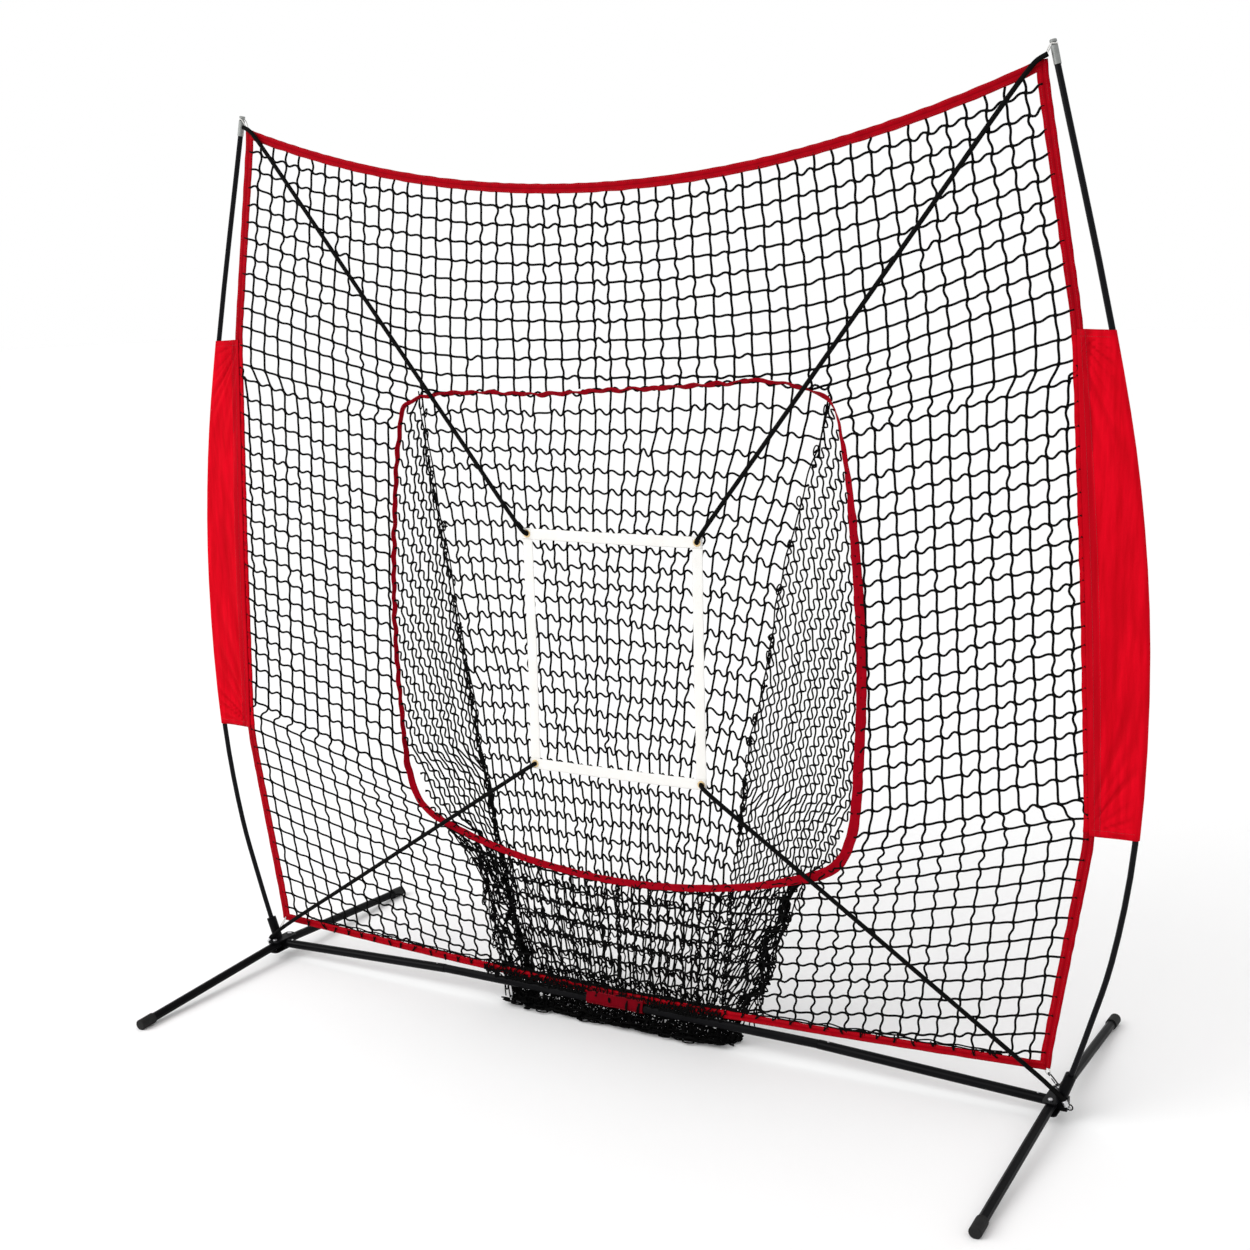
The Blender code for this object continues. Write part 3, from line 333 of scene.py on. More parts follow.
def sleeve_cloth():
    m = Nodes("sleeve_polyester", (0.60, 0.0008, 0.007), 0.50, Specular_IOR_Level=0.02)
    weave = weave_height(m, 0.0007)
    # Diagonal streaks, darker where their own bump sinks: painted shade of fine wrinkles in the
    # cloth.
    wrinkle_streak = m.noise(1.0, 4.0, m.scaled(90.0, 90.0, 9.0, (0.0, 0.55, 0.0)))
    tone = m.mix(m.span(wrinkle_streak, 0.3, 0.7), (0.47, 0.0006, 0.006), (0.68, 0.0015, 0.012))
    tone = m.mix(m.span(m.noise(9.0), 0.35, 0.8, 0.0, 0.35), tone, (0.48, 0.001, 0.007))
    # Darker where the creases sink in: painted shade in the crease valleys.
    crease = m.span(m.attribute("crease"), 0.15, -0.9, 0.0, 0.45)
    tone = m.mix(crease, tone, (0.34, 0.0005, 0.004))
    m.color(m.mix(m.span(m.attribute("hem"), 0.0, 1.0, 0.0, 0.55), tone, (0.30, 0.001, 0.006)))
    m.rough(weave, 0.0, 1.0, 0.44, 0.60)
    m.bump(wrinkle_streak, 0.0012, 0.35, m.bump(weave, 0.00010, 0.5))
    return m.material


def tape_cloth(name, color):
    m = Nodes(name, color, 0.62, Specular_IOR_Level=0.02)
    twill = weave_height(m, 0.0008, (0.0, math.radians(38.0), 0.0))
    blotch = m.span(m.noise(55.0, 4.0), 0.3, 0.7)
    tone = m.mix(blotch, shade(color, 0.86), shade(color, 1.16))
    # Darker where the twill sinks between its threads: painted shade in the weave.
    tone = m.mix(m.span(twill, 0.0, 1.0, 0.22, 0.0), tone, shade(color, 0.45))
    m.color(m.mix(m.span(m.attribute("seam"), 0.2, 1.0, 0.0, 0.55), tone, shade(color, 0.42)))
    m.rough(twill, 0.0, 1.0, 0.56, 0.70)
    m.bump(twill, 0.00016, 0.7)
    return m.material


def twine():
    m = Nodes("black_twine", (0.003, 0.003, 0.003), 0.70, Specular_IOR_Level=0.03)
    along = m.math("MULTIPLY", m.attribute("along"), 1.0 / 0.0022)
    lay = m.wave(m.math("ADD", along, m.attribute("around")), math.tau)
    height = m.span(lay, -1.0, 1.0)
    # Darker in the grooves of the lay, where the height is low: painted shade between the plies.
    m.color(m.mix(height, (0.0012, 0.0012, 0.0012), (0.0045, 0.0045, 0.0045)))
    m.rough(height, 0.0, 1.0, 0.80, 0.62)
    m.bump(height, 0.0003, 0.7)
    return m.material


def braid(name, dark, light, pitch, strands, roughness):
    """Round braid: two families of yarns that cross round the cord."""
    m = Nodes(name, light, roughness, Specular_IOR_Level=0.04)
    along = m.math("MULTIPLY", m.attribute("along"), 1.0 / pitch)
    around = m.math("MULTIPLY", m.attribute("around"), float(strands))
    one, two = (m.wave(m.math(way, along, around), math.tau) for way in ("ADD", "SUBTRACT"))
    height = m.span(m.math("MULTIPLY", one, two), -1.0, 1.0)
    # Darker where the yarns dip under each other: painted shade between them, not a yarn colour.
    m.color(m.mix(height, dark, light))
    m.rough(m.noise(1500.0, 2.0), 0.3, 0.7, roughness - 0.08, roughness + 0.08)
    m.bump(height, 0.0005, 0.8)
    return m.material


def coated_webbing():
    clean = (0.80, 0.79, 0.765)
    m = Nodes("coated_webbing", clean, 0.46, Specular_IOR_Level=0.20)
    soil = m.noise(18.0, 5.0)
    tone = m.mix(m.span(soil, 0.35, 0.8), clean, (0.74, 0.728, 0.70))
    m.color(m.mix(m.span(m.attribute("seam"), 0.3, 1.0, 0.0, 0.35), tone, (0.62, 0.60, 0.55)))
    m.rough(soil, 0.3, 0.8, 0.40, 0.56)
    m.bump(weave_height(m, 0.0011), 0.00010, 0.45)
    return m.material


def stitch_thread(name, color):
    m = Nodes(name, color, 0.6, Sheen_Weight=0.1)
    ply = m.noise(2600.0, 2.0)
    m.color(m.mix(ply, shade(color, 0.75), shade(color, 1.15)))
    m.bump(ply, 0.0001, 0.6)
    return m.material


def floor_paint():
    m = Nodes("studio_floor", (0.97, 0.97, 0.97), 0.75, Specular_IOR_Level=0.05)
    m.color(m.mix(m.noise(3.0), (0.965, 0.965, 0.965), (0.975, 0.975, 0.975)))
    return m.material


MATERIALS = {
    **metals_and_plastics(), "pole": fibreglass(), "sleeve": sleeve_cloth(),
    "facing": tape_cloth("sleeve_facing_cloth", (0.47, 0.0008, 0.007)),
    "tape": tape_cloth("binding_tape", (0.33, 0.0008, 0.006)),
    "rim": tape_cloth("rim_ribbon", (0.28, 0.0008, 0.007)),
    # The wrap is painted far darker than the band it is sewn to: painted shade from the netting
    # that lies over it.
    "wrap": tape_cloth("bar_wrap_cloth_painted_shade", (0.14, 0.0008, 0.005)),
    "twine": twine(), "strip": coated_webbing(),
    # Each braid's first colour is the painted shade where its yarns dip under each other.
    "cord": braid("black_elastic", (0.001, 0.001, 0.001), (0.005, 0.005, 0.005), 0.0042, 4, 0.66),
    "tie": braid("white_elastic", (0.62, 0.61, 0.58), (0.90, 0.89, 0.86), 0.0016, 3, 0.70),
    "red_thread": stitch_thread("red_thread", (0.34, 0.002, 0.010)),
    "white_thread": stitch_thread("white_thread", (0.74, 0.72, 0.66)),
}


# ---- curves and grids
def smooth_line(points, per_span=8, closed=False):
    """Points along a centripetal Catmull-Rom curve through the given points."""
    p = [Vector(q) for q in points]
    ends = [p[-1]] + p + [p[0], p[1]] if closed else [2 * p[0] - p[1]] + p + [2 * p[-1] - p[-2]]
    line = []
    for a, b, c, d in zip(ends, ends[1:], ends[2:], ends[3:]):
        t1 = (b - a).length ** 0.5
        t2 = t1 + (c - b).length ** 0.5
        t3 = t2 + (d - c).length ** 0.5
        for k in range(per_span):
            t = t1 + (t2 - t1) * k / per_span
            ab, bc = a.lerp(b, t / t1), b.lerp(c, (t - t1) / (t2 - t1))
            cd = c.lerp(d, (t - t2) / (t3 - t2))
            abc, bcd = ab.lerp(bc, t / t2), bc.lerp(cd, (t - t1) / (t3 - t1))
            line.append(abc.lerp(bcd, (t - t1) / (t2 - t1)))
    if not closed:
        line.append(p[-1])
    return np.array([tuple(q) for q in line])


def unit(rows):
    return rows / np.maximum(np.linalg.norm(rows, axis=-1, keepdims=True), 1e-12)


def rows_of(x, y, z):
    """Points from their coordinates; a single number stands for every point."""
    return np.stack(np.broadcast_arrays(*(np.asarray(v, float) for v in (x, y, z))), axis=-1)


def summed(steps):
    return np.concatenate([[0.0], np.cumsum(steps)])


def distances(line):
    """Distance along a line to each of its points."""
    return summed(np.linalg.norm(np.diff(line, axis=0), axis=1))


def ramp(value, start, width):
    """0 before start, then a straight rise to 1 over the width; a negative width looks back."""
    return np.clip((value - start) / width, 0.0, 1.0)


def points_at(line, run, at):
    return np.stack([np.interp(at, run, line[:, k]) for k in range(3)], axis=-1)


def resampled(points, step, closed=False):
    line = np.asarray(points, float)
    if closed:
        line = np.vstack([line, line[:1]])
    run = distances(line)
    count = max(4, int(round(run[-1] / step)))
    at = np.linspace(0, run[-1], count + 1)[:-1 if closed else None]
    return points_at(line, run, at), at


def ripple(at, size, pitch, seed, closed_length=None):
    """Smooth unevenness along a tape; periodic where the tape is closed."""
    wobble = np.random.default_rng(seed)
    total = np.zeros_like(at)
    for _ in range(5):
        wave = pitch * wobble.uniform(0.6, 1.9)
        if closed_length:
            wave = closed_length / max(1, round(closed_length / wave))
        total += np.sin(math.tau * at / wave + wobble.uniform(0, 6.28)) * wobble.uniform(0.4, 1)
    return total * size / 2.5


def grid_faces(rows, columns, wrap=False):
    """Quads over a grid of points, row by row; wrap joins the last column to the first."""
    wide = columns if wrap else columns - 1
    return [[r * columns + c, r * columns + (c + 1) % columns,
             (r + 1) * columns + (c + 1) % columns, (r + 1) * columns + c]
            for r in range(rows - 1) for c in range(wide)]


# ---- pieces
def new_piece(name, verts, faces, material, node=None, attributes=None):
    """One visible piece. It rides the frame and stands for a CAD node if one is named."""
    mesh = bpy.data.meshes.new(name)
    mesh.from_pydata(np.asarray(verts, float).tolist(), [], faces)
    mesh.polygons.foreach_set("use_smooth", np.ones(len(mesh.polygons), bool))
    for key, values in (attributes or {}).items():
        mesh.attributes.new(key, "FLOAT", "POINT").data.foreach_set(
            "value", np.asarray(values, np.float32))
    mesh.materials.append(MATERIALS[material])
    mesh.update()
    piece = bpy.data.objects.new(name, mesh)
    bpy.context.scene.collection.objects.link(piece)
    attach(piece, "frame")
    if node:
        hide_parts(node)
    return piece


def strand_piece(name, strands, material="twine", node=None, sides=5,
                 reference=(0, 1, 0)):
    """Many round strands in one mesh. A strand is its points and its radius at each point."""
    verts, faces, along, around = [], [], [], []
    base = 0
    turn = math.tau * np.arange(sides) / sides
    for points, radius in strands:
        count = len(points)
        tangent = unit(np.gradient(points, axis=0))
        side = unit(np.cross(tangent, np.array(reference, float)))
        up = np.cross(side, tangent)
        spokes = (np.cos(turn)[None, :, None] * side[:, None, :]
                  + np.sin(turn)[None, :, None] * up[:, None, :])
        rad = np.broadcast_to(np.asarray(radius, float), (count,))
        verts.append((points[:, None, :] + rad[:, None, None] * spokes).reshape(-1, 3))
        along.append(np.repeat(distances(points), sides))
        around.append(np.tile(np.abs(np.arange(sides) * 2.0 / sides - 1.0), count))
        i = np.arange(count - 1)[:, None] * sides + base
        j = np.arange(sides)[None, :]
        k = (j + 1) % sides
        quads = np.stack([i + j, i + k, i + sides + k, i + sides + j], axis=-1).reshape(-1, 4)
        faces.extend(quads.tolist())
        faces.append(list(range(base + sides - 1, base - 1, -1)))
        faces.append(list(range(base + (count - 1) * sides, base + count * sides)))
        base += count * sides
    return new_piece(name, np.concatenate(verts), faces, material, node,
                     {"along": np.concatenate(along), "around": np.concatenate(around)})


def stitches(points, width_way=(1.0, 0.0, 0.0), thick_way=TO_FRONT, offset=0.0, height=0.0006):
    """Dashes of thread in a row along a line, at an offset across it and a height over it."""
    width_way, thick_way = (np.broadcast_to(way, points.shape) for way in (width_way, thick_way))
    run = distances(points)
    strands = []
    for start in np.arange(FIRST_DASH, run[-1] - DASH, DASH + DASH_GAP):
        spot = points_at(points, run, np.linspace(start, start + DASH, 4))
        k = min(np.searchsorted(run, start), len(points) - 1)
        lift = height + DASH_LIFT
        strands.append((spot + width_way[k] * offset + thick_way[k] * lift[:, None], THREAD_R))
    return strands


def thread_piece(name, strands, material):
    strand_piece(name, strands, material, sides=4, reference=(0.3, 1, 0.2))


def thicken(piece, thickness):
    shell = piece.modifiers.new("cloth", "SOLIDIFY")
    shell.thickness = thickness
    shell.offset = 0.0


# ---- outlines
POLE = smooth_line([(x, 0.0, z) for x, z in POLE_LINE], 4)


def pole_x(z):
    return np.interp(z, POLE[:, 2], POLE[:, 0])


def edge_x(z):
    return np.interp(z, [p[1] for p in SIDE_EDGE], [p[0] for p in SIDE_EDGE])


def inner_edge(z):
    return edge_x(z) - BINDING_WIDTH


def top_z(x):
    return TOP_MID_Z + TOP_SAG * x * x


def bottom_z(x):
    return BOTTOM_MID_Z + BOTTOM_RISE * (np.abs(x) / float(edge_x(0.12))) ** 1.5


def top_wave(x):
    """How far the top of the mouth hangs above or below its mean line."""
    return np.interp(x, [p[0] for p in RIM_TOP_WAVE], [p[1] for p in RIM_TOP_WAVE])


def rim_loop():
    """The outline of the pocket's mouth, with its wavy top."""
    mirrored = [(-x, z) for x, z in RIM_LINE[-2:0:-1]]
    loop = smooth_line([(x, z, 0) for x, z in [*RIM_LINE, *mirrored]], 6, True)[:, :2]
    loop[:, 1] += top_wave(loop[:, 0]) * ramp(loop[:, 1], 1.49, 0.05)
    return loop


RIM = rim_loop()


def inside(polygon, x, z):
    """Which points lie inside a closed outline, by the even-odd rule."""
    hit = np.zeros(x.shape, bool)
    for (x0, z0), (x1, z1) in zip(polygon, np.roll(polygon, -1, axis=0)):
        spans = (z0 > z) != (z1 > z)
        if z1 != z0:
            hit ^= spans & (x < (x1 - x0) * (z - z0) / (z1 - z0) + x0)
    return hit


def on_face(points):
    """Which points of the net face show between its bindings and the pocket's mouth."""
    x, z = points[:, 0], points[:, 2]
    keep = (z < top_z(x) - TOP_WIDTH * 0.7) & (np.abs(x) < edge_x(z) - BINDING_WIDTH * 0.6)
    return keep & (z > bottom_z(x) + BOTTOM_HALF_WIDTH * 0.3) & ~inside(RIM, x, z)


# ---- netting of the face
def wavy(nodes, sign, slack=LINK, depth=0.0, thick=TWINE_R):
    """A strand through nodes. Each link bows one way and then the other, by its spare length."""
    start, chord = nodes[:-1], nodes[1:] - nodes[:-1]
    dist = np.maximum(np.linalg.norm(chord, axis=1), 1e-6)
    spare = np.clip(slack * RNG.normal(1.0, LINK_SPREAD, len(dist)) / dist - 1.0, 0.003, 1.2)
    bow = np.minimum(dist / math.pi * np.sqrt(spare), LONGEST_BOW) * sign
    flat = unit(np.cross(chord, np.array([0.0, 1.0, 0.0])))
    flat = flat + depth * RNG.normal(0.0, 1.0, flat.shape) * np.array([0.2, 1.0, 0.2])
    t = np.arange(LINK_STEPS) / LINK_STEPS
    wave = np.sin(math.tau * t)
    body = (start[:, None, :] + chord[:, None, :] * t[None, :, None]
            + bow[:, None, None] * wave[None, :, None] * flat[:, None, :])
    points = np.concatenate([body.reshape(-1, 3), nodes[-1:]])
    radius = np.full(len(points), thick)
    radius[::LINK_STEPS] *= KNOT_SWELL
    return points, radius


def clipped(strand, keep):
    """The runs of a strand where keep is true."""
    points, radius = strand
    runs, start = [], None
    for i, flag in enumerate([*keep, False]):
        if flag and start is None:
            start = i
        elif not flag and start is not None:
            if i - start >= 3:
                runs.append((points[start:i], radius[start:i]))
            start = None
    return runs


def jitter(shape, size):
    return RNG.normal(0.0, size, shape)


def soft_corner(x):
    """Nearly flat in the middle of the net, then a straight rise towards each side."""
    d = np.abs(x) - 0.5
    return (np.sqrt(d * d + 0.01) + d) / 2


def seam_z(seam, x):
    z, slope, outer = seam
    return z - slope * (outer - np.abs(x))


def row_above_rim(k, x):
    """Height of row k above the pocket; rows below 0 fan down to the high seam."""
    rise = TOP_ROW_RISE * soft_corner(x)
    if k < 0:
        flat = TOP_ROW_Z + rise
        return flat + (seam_z(HIGH_SEAM, x) - flat) * (-k / TOP_ROWS_BELOW)
    u = k / 9.0
    return TOP_ROW_Z + TOP_ROW_PITCH * k + u * TOP_SAG * x * x + (1 - u) * rise


def low_row(k, x):
    """Height of row k below the low seam: level under the pocket, parallel to the seam outside."""
    x = np.abs(x)
    half = 0.6               # the pocket's half width there
    inner = seam_z(LOW_SEAM, half) - min(k, 3) * 0.0345 - max(k - 3, 0) * 0.0394
    outer = seam_z(LOW_SEAM, x) - 0.0425 * k
    beyond = inner + 0.29 * (x - half) * (1 - min(k / 12.0, 1.0) * 0.35)
    mix = ramp(x, half, 0.5)
    level = inner - 0.06 * (1 - (x / half) ** 2)
    return np.where(x < half, level, beyond * (1 - mix) + outer * mix)


def face_node(x, z):
    nodes = rows_of(x, 0.0, z)
    return nodes + jitter(nodes.shape, FACE_WOBBLE) * np.array([1.0, 0.35, 1.0])


def spread_lattice(side, height, rows, offsets, full_at):
    """Nodes on one side of the middle. Columns spread with the net's width, which full_at sets."""
    grid = []
    for k in rows:
        x = offsets
        for _ in range(2):
            x = offsets * inner_edge(height(k, x)) / inner_edge(full_at)
        grid.append(face_node(side * x, height(k, x)))
    return np.array(grid)


def side_lattice(side, top_seam, low_seam_nodes):
    """Nodes between a side binding and the pocket's mouth, tied to the rows above and below."""
    rows = []
    j = np.arange(SIDE_COLUMNS)
    for i in range(SIDE_ROWS + 1):
        from_seam = min(max(i - 1, 0), max(SIDE_ROWS - 1 - i, 0))
        first = 0.0215 - 0.0090 * math.exp(-from_seam / 1.1) * np.exp(-j / 3.0)
        tight = 0.16 * (math.exp(1 - i) if i else 0) - 0.16 * math.exp(i - SIDE_ROWS + 1)
        share = (i - tight * (0 < i < SIDE_ROWS)) / SIDE_ROWS
        x = inner_edge(1.0) - first - SIDE_PITCH * j
        for _ in range(2):
            z = seam_z(HIGH_SEAM, x) + (seam_z(LOW_SEAM, x) - seam_z(HIGH_SEAM, x)) * share
            x = inner_edge(z) - first - SIDE_PITCH * j
        rows.append(face_node(side * x, z))
    grid = np.array(rows)
    for c in range(1, SIDE_COLUMNS):
        wanted = side * (1.040 - TOP_PITCH * (c - 1))
        grid[0, c] = top_seam[np.argmin(np.abs(top_seam[:, 0] - wanted))]
        grid[-1, c] = low_seam_nodes[FACE_COLUMNS - c]
    high_end = float(seam_z(HIGH_SEAM, 1.09)) - 0.012
    grid[0, 0] = (side * (inner_edge(1.61) + INTO_BINDING), 0.0, high_end)
    grid[-1, 0] = (side * (inner_edge(0.68) + INTO_BINDING), 0.0, 0.684)
    return grid


def lattice_strands(grid, column_sign, slack=LINK, thick=TWINE_R):
    strands = []
    for row in grid:
        strands.append(wavy(row, -RNG.uniform(0.7, 1.25, len(row) - 1), slack, thick=thick))
    for column in grid.swapaxes(0, 1):
        bow = column_sign * RNG.choice((-1.0, 1.0), p=(0.25, 0.75))
        sign = bow * RNG.uniform(0.5, 1.2, len(column) - 1)
        strands.append(wavy(column, sign, slack, thick=thick))
    return strands


def end_link(node, side, lift, reach, slack, thick=TWINE_R):
    """The last link of a row, from its outer node into the side binding."""
    z = node[2] + RNG.uniform(*lift)
    end = (side * (float(inner_edge(z)) + reach), 0.0, z)
    return wavy(np.array([node, end]), 0.5 * side, slack, thick=thick)


def net_pieces():
    """The net face: top, two sides and bottom, clipped by the bindings and the pocket's mouth."""
    top_offsets = TOP_FIRST + TOP_PITCH * np.arange(FACE_COLUMNS)
    low_offsets = LOW_PITCH * np.arange(FACE_COLUMNS)
    tops = {side: spread_lattice(side, row_above_rim, range(-TOP_ROWS_BELOW, TOP_ROWS),
                                 top_offsets, 1.6) for side, _ in SIDES}
    lows = {side: spread_lattice(side, low_row, range(LOW_ROWS), low_offsets, 0.62)
            for side, _ in SIDES}
    lows[-1][:, 0] = lows[1][:, 0]
    groups = {"net_top": [], "net_left": [], "net_right": [], "net_bottom": []}
    for side, tag in SIDES:
        group = groups["net_" + tag]
        groups["net_top"] += lattice_strands(tops[side], -side, TOP_LINK)
        grid = side_lattice(side, tops[side][0], lows[side][0])
        group += lattice_strands(grid[1:-1], side)
        group += [end_link(row[0], side, (0.009, 0.014), INTO_BINDING, 0.028)
                  for row in grid[1:-1]]
        for c in range(SIDE_COLUMNS):
            group += [wavy(grid[:2, c], 0.8), wavy(grid[-2:, c], 0.8)]
        groups["net_bottom"] += lattice_strands(lows[side], side, LINK, LOW_TWINE_R)
        groups["net_bottom"] += [end_link(row[-1], side, (0.002, 0.008), 0.006, 0.034, LOW_TWINE_R)
                                 for row in lows[side]]
    bridge = np.stack([tops[-1][:, 0], tops[1][:, 0]], axis=1)
    groups["net_top"] += [wavy(pair, 1.0) for pair in bridge]
    for name, strands in groups.items():
        shown = [run for strand in strands for run in clipped(strand, on_face(strand[0]))]
        strand_piece(name, shown, node="net_face")


net_pieces()


# ---- netting of the pocket
def along_line(points, at):
    """Points at given distances along a curve, and the curve's length."""
    line = smooth_line(points)
    run = distances(line)
    return points_at(line, run, np.clip(at, 0.0, run[-1])), run[-1]


def at_height(points, z):
    line = smooth_line(points)[::-1]
    return np.interp(z, line[:, 2], line[:, 0]), np.interp(z, line[:, 2], line[:, 1])


def mouth_at_height(side, z):
    """Where the side of the mouth is at height z, and below it the edge of the lower front."""
    return at_height([(side * x, 0.001, h) for x, h in RIM_LINE[2:9]] + list(FRONT_EDGE[side]), z)


def settle(strands):
    """Nothing goes below the ground."""
    for points, _ in strands:
        points[:, 2] = np.maximum(points[:, 2], FLOOR_CLEAR)
    return strands


def net_strands(grid, link, column_sign, depth, thick, outer=0):
    """Strands along the rows and columns of a grid, without that many columns on each side."""
    strands = [wavy(row, RNG.uniform(0.7, 1.2, len(row) - 1), link, depth, thick) for row in grid]
    for column in grid[:, outer:grid.shape[1] - outer].swapaxes(0, 1):
        sign = column_sign * RNG.uniform(0.5, 1.2, len(column) - 1)
        strands.append(wavy(column, sign, link, depth, thick))
    return settle(strands)


def back_grid():
    """The back panel, between the two folds."""
    rows = []
    u = np.linspace(0.0, 1.0, BACK_COLUMNS + 1)
    for i in range(BACK_ROWS + 1):
        z = RIM_LINE[0][1] - BACK_PITCH * i
        (xl, yl), (xr, yr) = at_height(FOLD[-1], z), at_height(FOLD[1], z)
        y = yl + (yr - yl) * u + 0.006 * np.sin(math.pi * u) * min(i / 6.0, 1.0)
        droop = 0.024 * ramp(u, 0.72, 0.28) ** 2 * min(i / 3.0, 1.0)
        droop += 0.014 * ramp(u, 0.16, -0.16) ** 2 * min(i / 3.0, 1.0)
        sag = 0.010 * np.sin(math.pi * u) * math.sin(min(i / 12.0, 1.0) * math.pi)
        x = xl + (xr - xl) * u
        hung = top_wave(x) * max(0.0, 1.0 - i / 4.0)
        rows.append(rows_of(x, y, z - droop - sag + hung) + jitter((len(u), 3), 0.0022))
    grid = np.array(rows)
    grid[:, :, 2] = np.maximum(grid[:, :, 2], 0.004 + 0.006 * RNG.random(grid.shape[:2]))
    return grid


def guide_at_height(side, z):
    """The line that the columns of a side panel follow. It leaves the mouth at its low corner."""
    xm, ym = mouth_at_height(side, z)
    line = COLUMN_GUIDE[side][::-1]
    xg = np.interp(z, [q[1] for q in line], [q[0] for q in line])
    return xm + (xg - xm) * ramp(z, line[-1][1], -0.06), ym


def side_rows(side):
    """A side panel as rows from the mouth to the fold. The fold cuts off the columns it meets."""
    c = np.arange(SIDE_NET_COLUMNS + 1)
    drop = summed(0.017 + 0.016 * np.minimum(c[:-1] / 9.0, 1.0))
    rows = []
    for i in range(-5, SIDE_NET_ROWS):
        z = np.maximum(1.505 - SIDE_NET_PITCH * i - drop, -0.02)
        xm, ym = guide_at_height(side, z)
        xf, yf = at_height(FOLD[side], z)
        width = np.hypot(xm - xf, ym - yf)
        pitch = 0.0230 - 0.0030 * ramp(z, 1.20, -0.3)
        pitch -= 0.0020 * ramp(z, 0.75, -0.3)
        share = np.minimum(c * pitch / np.maximum(width, 0.01), 1.0)
        row = rows_of(xm + (xf - xm) * share,
                      ym + (yf - ym) * share + 0.008 * np.sin(math.pi * share), z)
        noise = jitter(row.shape, 0.0011)
        noise[0] = 0.0
        row = row + noise * (share < 1.0)[:, None]
        bulge = 0.007 * np.sin(z * 41.0 + side) + 0.004 * np.sin(z * 97.0)
        edge = np.abs(mouth_at_height(side, z)[0]) + bulge - 0.050 * RNG.random(len(z)) ** 1.5
        bunched = (z < CORNER_Z) & (np.abs(row[:, 0]) > edge)
        row[:, 0] = np.where(bunched, side * edge, row[:, 0])
        rows.append((row, share))
    return rows


def within_mouth(side, strand):
    """The parts of a strand that the mouth's low corner leaves in sight."""
    x, z = strand[0][:, 0], strand[0][:, 2]
    keep = (z < CORNER_Z) | (np.abs(x) < np.abs(mouth_at_height(side, z)[0]) + 0.002)
    return clipped(strand, keep)


def side_strands(side):
    strands = []
    rows = side_rows(side)
    look = {"slack": POCKET_LINK, "depth": 0.10, "thick": SIDE_TWINE_R[side]}
    for row, share in rows:
        last = int(np.argmax(share >= 1.0)) if (share >= 1.0).any() else len(share) - 1
        shown = np.where(row[:last + 1, 2] < POCKET_TOP_Z)[0]
        if len(shown) > 1:
            part = row[shown[0]:last + 1]
            sign = -side * RNG.uniform(0.9, 1.2, len(part) - 1)
            strands += within_mouth(side, wavy(part, sign, **look))
    for c in range(1, SIDE_NET_COLUMNS + 1):
        column = [row[c] for row, share in rows
                  if (share[c] < 1.0 or share[c - 1] < 1.0) and row[c, 2] < POCKET_TOP_Z]
        column = [p for n, p in enumerate(column) if n == 0 or p[2] < column[n - 1][2] - 1e-4]
        if len(column) > 1:
            sign = side * RNG.uniform(0.5, 1.1, len(column) - 1)
            strands += within_mouth(side, wavy(np.array(column), sign, **look))
    return settle(strands)


def front_grid():
    """The pocket's lower front, from the bottom of its mouth to the ground."""
    low = [(x, 0.001, z) for x, z in RIM_LINE[9:]]
    rim = [(-x, y, z) for x, y, z in low[:-1]] + low[::-1]
    _, long = along_line(rim, 0.0)
    top, _ = along_line(rim, long * np.linspace(0, 1, FRONT_COLUMNS + 1))
    x_low = np.linspace(FRONT_EDGE[-1][-1][0], FRONT_EDGE[1][-1][0], FRONT_COLUMNS + 1)
    rows = []
    for r in range(FRONT_ROWS + 1):
        t = r / FRONT_ROWS
        x = top[:, 0] + (x_low - top[:, 0]) * t ** 0.8
        z = top[:, 2] + (0.012 - top[:, 2]) * t
        loose = 0.020 * RNG.random((2, len(x))) + 0.004
        low = z < CORNER_Z
        x = np.where(low, np.maximum(x, mouth_at_height(-1, z)[0] + loose[0]), x)
        x = np.where(low, np.minimum(x, mouth_at_height(1, z)[0] - loose[1]), x)
        row = rows_of(x, 0.001 + 0.0165 * min(1.0, 1.6 * t), z)
        rows.append(row + (jitter(row.shape, 0.0036) * (1.0, 0.6, 1.6) if r else 0))
    return np.array(rows)


def heap_grids():
    """Netting gathered on the ground: layers that lie behind, under and in front of the bar."""
    grids = []
    clear_r = WRAP_R + WRAP_CLEAR
    under = BAR_Z - WRAP_R - 0.004
    x = np.linspace(*HEAP_X, HEAP_COLUMNS + 1)
    to_end = np.minimum(x - HEAP_X[0], HEAP_X[1] - x) + 0.014
    spread = np.clip(to_end / 0.13, 0.10, 1.0) ** 0.8
    for n, profile in enumerate(HEAP_PROFILES):
        swell = 1 + 0.26 * np.sin(x * 19 + n * 1.3) + 0.22 * np.sin(x * 47 + n * 2.1)
        rows = []
        for y, z in profile:
            row = rows_of(x, 0.022 + (y - 0.022) * spread * (swell if y < 0.0 else 1),
                          z * (0.5 + 0.5 * spread) * (swell if z < 0.045 else 1))
            rows.append(row + jitter(row.shape, 1.0) * HEAP_NOISE)
        grid = np.array(rows)
        grid[:, :, 1] = np.clip(grid[:, :, 1], *HEAP_Y)
        grid[:, :, 2] = np.maximum(grid[:, :, 2], HEAP_LOW_Z)
        near_bar = (np.abs(grid[:, :, 1]) < clear_r) & (grid[:, :, 2] > under)
        low = near_bar & (grid[:, :, 2] < BAR_Z)
        grid[:, :, 2] = np.where(low, under, grid[:, :, 2])
        grid[:, :, 1] = np.where(near_bar & ~low, WRAP_R + 0.004, grid[:, :, 1])
        grids.append(grid)
    return grids


